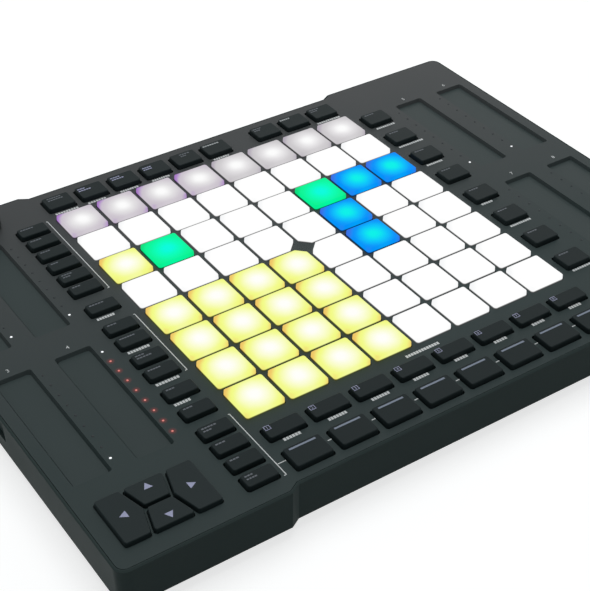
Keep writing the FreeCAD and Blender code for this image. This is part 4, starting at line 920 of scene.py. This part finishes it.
for name, rows in LEFT_KEY_PRINTS:
    key_legends(name + "_print", [(LEFT_PRINT_X, y + LEFT_PRINT_RISE, first, second)
                                  for y, first, second in rows], name + "_body", faint_ink)


def corners(x, y, reach, count, turn=0):
    """A regular outline about its middle, in millimetres, made in metres."""
    outline = []
    for step in range(count):
        angle = math.radians(turn + 360 / count * step)
        outline.append(((x + reach * math.cos(angle)) / 1000,
                        (y + reach * math.sin(angle)) / 1000))
    return outline


CLUSTER_X = -165.5
CLUSTER_Y = -117.5
ARROW_REACH = 2.6
UP_DOWN_STEP = 10.3
SIDE_STEP = 17.2
SIDE_RISE = 0.3
for name, x, y, degrees in (("arrow_up", CLUSTER_X, CLUSTER_Y + UP_DOWN_STEP, 90),
                            ("arrow_down", CLUSTER_X, CLUSTER_Y - UP_DOWN_STEP, 270),
                            ("arrow_left", CLUSTER_X - SIDE_STEP, CLUSTER_Y + SIDE_RISE, 180),
                            ("arrow_right", CLUSTER_X + SIDE_STEP, CLUSTER_Y + SIDE_RISE, 0)):
    printed(name + "_print", [corners(x, y, ARROW_REACH, 3, degrees)], [], KEY_TOP,
            lavender_ink, name + "_key_body")

TRANSPORT_Y = -117.5
play_mark = [(x / 1000, y / 1000) for x, y in ((146.3, -115.1), (146.3, -119.9),
                                               (150.9, TRANSPORT_Y))]
record_mark = corners(165.5, TRANSPORT_Y, 2.4, 24)
stop_mark = bar(182.7, TRANSPORT_Y, 4.2, 4.2)
for name, outline in (("play", play_mark), ("record", record_mark), ("stop", stop_mark)):
    printed(name + "_print", [outline], [], KEY_TOP, lavender_ink, name + "_key_body")

# Room. A white table in a white room, a wide softbox overhead, a low one behind on the right
# and a weak one on the left.

FLOOR_LIFT = 0.72
ROOM_TONE = (0.85, 0.97, 1.0, 1)
ROOM_STRENGTH = 0.22


def seen_ray(tree):
    """1 where the eye looks straight at a surface, or at its reflection or through glass."""
    path = node_in(tree, "ShaderNodeLightPath").outputs
    seen = maths(tree, "MAXIMUM", path["Is Camera Ray"], path["Is Glossy Ray"])
    return maths(tree, "MAXIMUM", seen, path["Is Transmission Ray"])


def white_surface(name):
    """Matt white that shows as pure white where no shadow falls on it."""
    material, tree = blank_material(name)
    place = node_in(tree, "ShaderNodeTexCoord").outputs["Object"]
    base = ramp_in(tree, noise_in(tree, place, 3, 3), [(NOISE_FAINT, (0.48, 0.48, 0.48, 1)),
                                                       (NOISE_FULL, (0.52, 0.52, 0.52, 1))])
    paint = node_in(tree, "ShaderNodeBsdfDiffuse", {"Color": base})
    glow = node_in(tree, "ShaderNodeEmission",
                   {"Strength": maths(tree, "MULTIPLY", seen_ray(tree), FLOOR_LIFT)})
    both = node_in(tree, "ShaderNodeAddShader",
                   {0: paint.outputs["BSDF"], 1: glow.outputs["Emission"]})
    close_material(tree, both.outputs["Shader"])
    return material


TABLE_REACH = 6.0
table_mesh = bpy.data.meshes.new("table_top")
table_mesh.from_pydata([(-TABLE_REACH, -TABLE_REACH, 0), (TABLE_REACH, -TABLE_REACH, 0),
                        (TABLE_REACH, TABLE_REACH, 0), (-TABLE_REACH, TABLE_REACH, 0)],
                       [], [(0, 1, 2, 3)])
table_mesh.materials.append(white_surface("white_table"))
new_piece("table_top", table_mesh)

world = bpy.context.scene.world or bpy.data.worlds.new("room")
bpy.context.scene.world = world
world.use_nodes = True
tree = world.node_tree
tree.nodes.clear()
room = node_in(tree, "ShaderNodeBackground", {"Color": ROOM_TONE, "Strength": ROOM_STRENGTH})
backdrop = node_in(tree, "ShaderNodeBackground", {"Color": (1, 1, 1, 1), "Strength": 1.0})
mixed = node_in(tree, "ShaderNodeMixShader",
                {0: seen_ray(tree), 1: room.outputs[0], 2: backdrop.outputs[0]})
output = tree.nodes.new("ShaderNodeOutputWorld")
tree.links.new(mixed.outputs[0], output.inputs["Surface"])


def softbox(name, place, aim, width, power):
    """A square lamp aimed at a place; its power is in watts."""
    lamp = bpy.data.lights.new(name, "AREA")
    lamp.shape = "SQUARE"
    lamp.size = width
    lamp.energy = power
    holder = bpy.data.objects.new(name, lamp)
    holder.location = place
    holder.rotation_mode = "QUATERNION"
    holder.rotation_quaternion = (Vector(aim) - Vector(place)).to_track_quat("-Z", "Y")
    bpy.context.collection.objects.link(holder)


softbox("overhead_softbox", (0.1, 0.2, 1.6), (0, 0, 0.03), 1.2, 12)
softbox("rear_softbox", (0.93, 0.95, 0.66), (0.18, 0.1, 0.03), 0.8, 1.0)
softbox("side_softbox", (-1.3, -0.3, 0.6), (0, 0, 0.03), 0.6, 0.6)

# Camera. It stands in front on the left, above the table, and looks down at the pads through
# a long lens, as the photograph's camera does.

CAMERA_PLACE = (-0.37285, -0.53081, 0.49904)
CAMERA_AIM = (0.44667, 0.65707, -0.60725)
CAMERA_ROLL_DEGREES = 0.321
camera_data = bpy.data.cameras.new("photo_camera")
camera_data.lens = 87.699
camera_data.sensor_width = 36
camera_data.clip_start = 0.01
camera = bpy.data.objects.new("photo_camera", camera_data)
camera.location = CAMERA_PLACE
camera.rotation_mode = "QUATERNION"
aim = Vector(CAMERA_AIM).to_track_quat("-Z", "Y")
roll = Matrix.Rotation(math.radians(CAMERA_ROLL_DEGREES), 4, "Z").to_quaternion()
camera.rotation_quaternion = aim @ roll
bpy.context.collection.objects.link(camera)
bpy.context.scene.camera = camera
bpy.context.scene.view_settings.view_transform = "Standard"
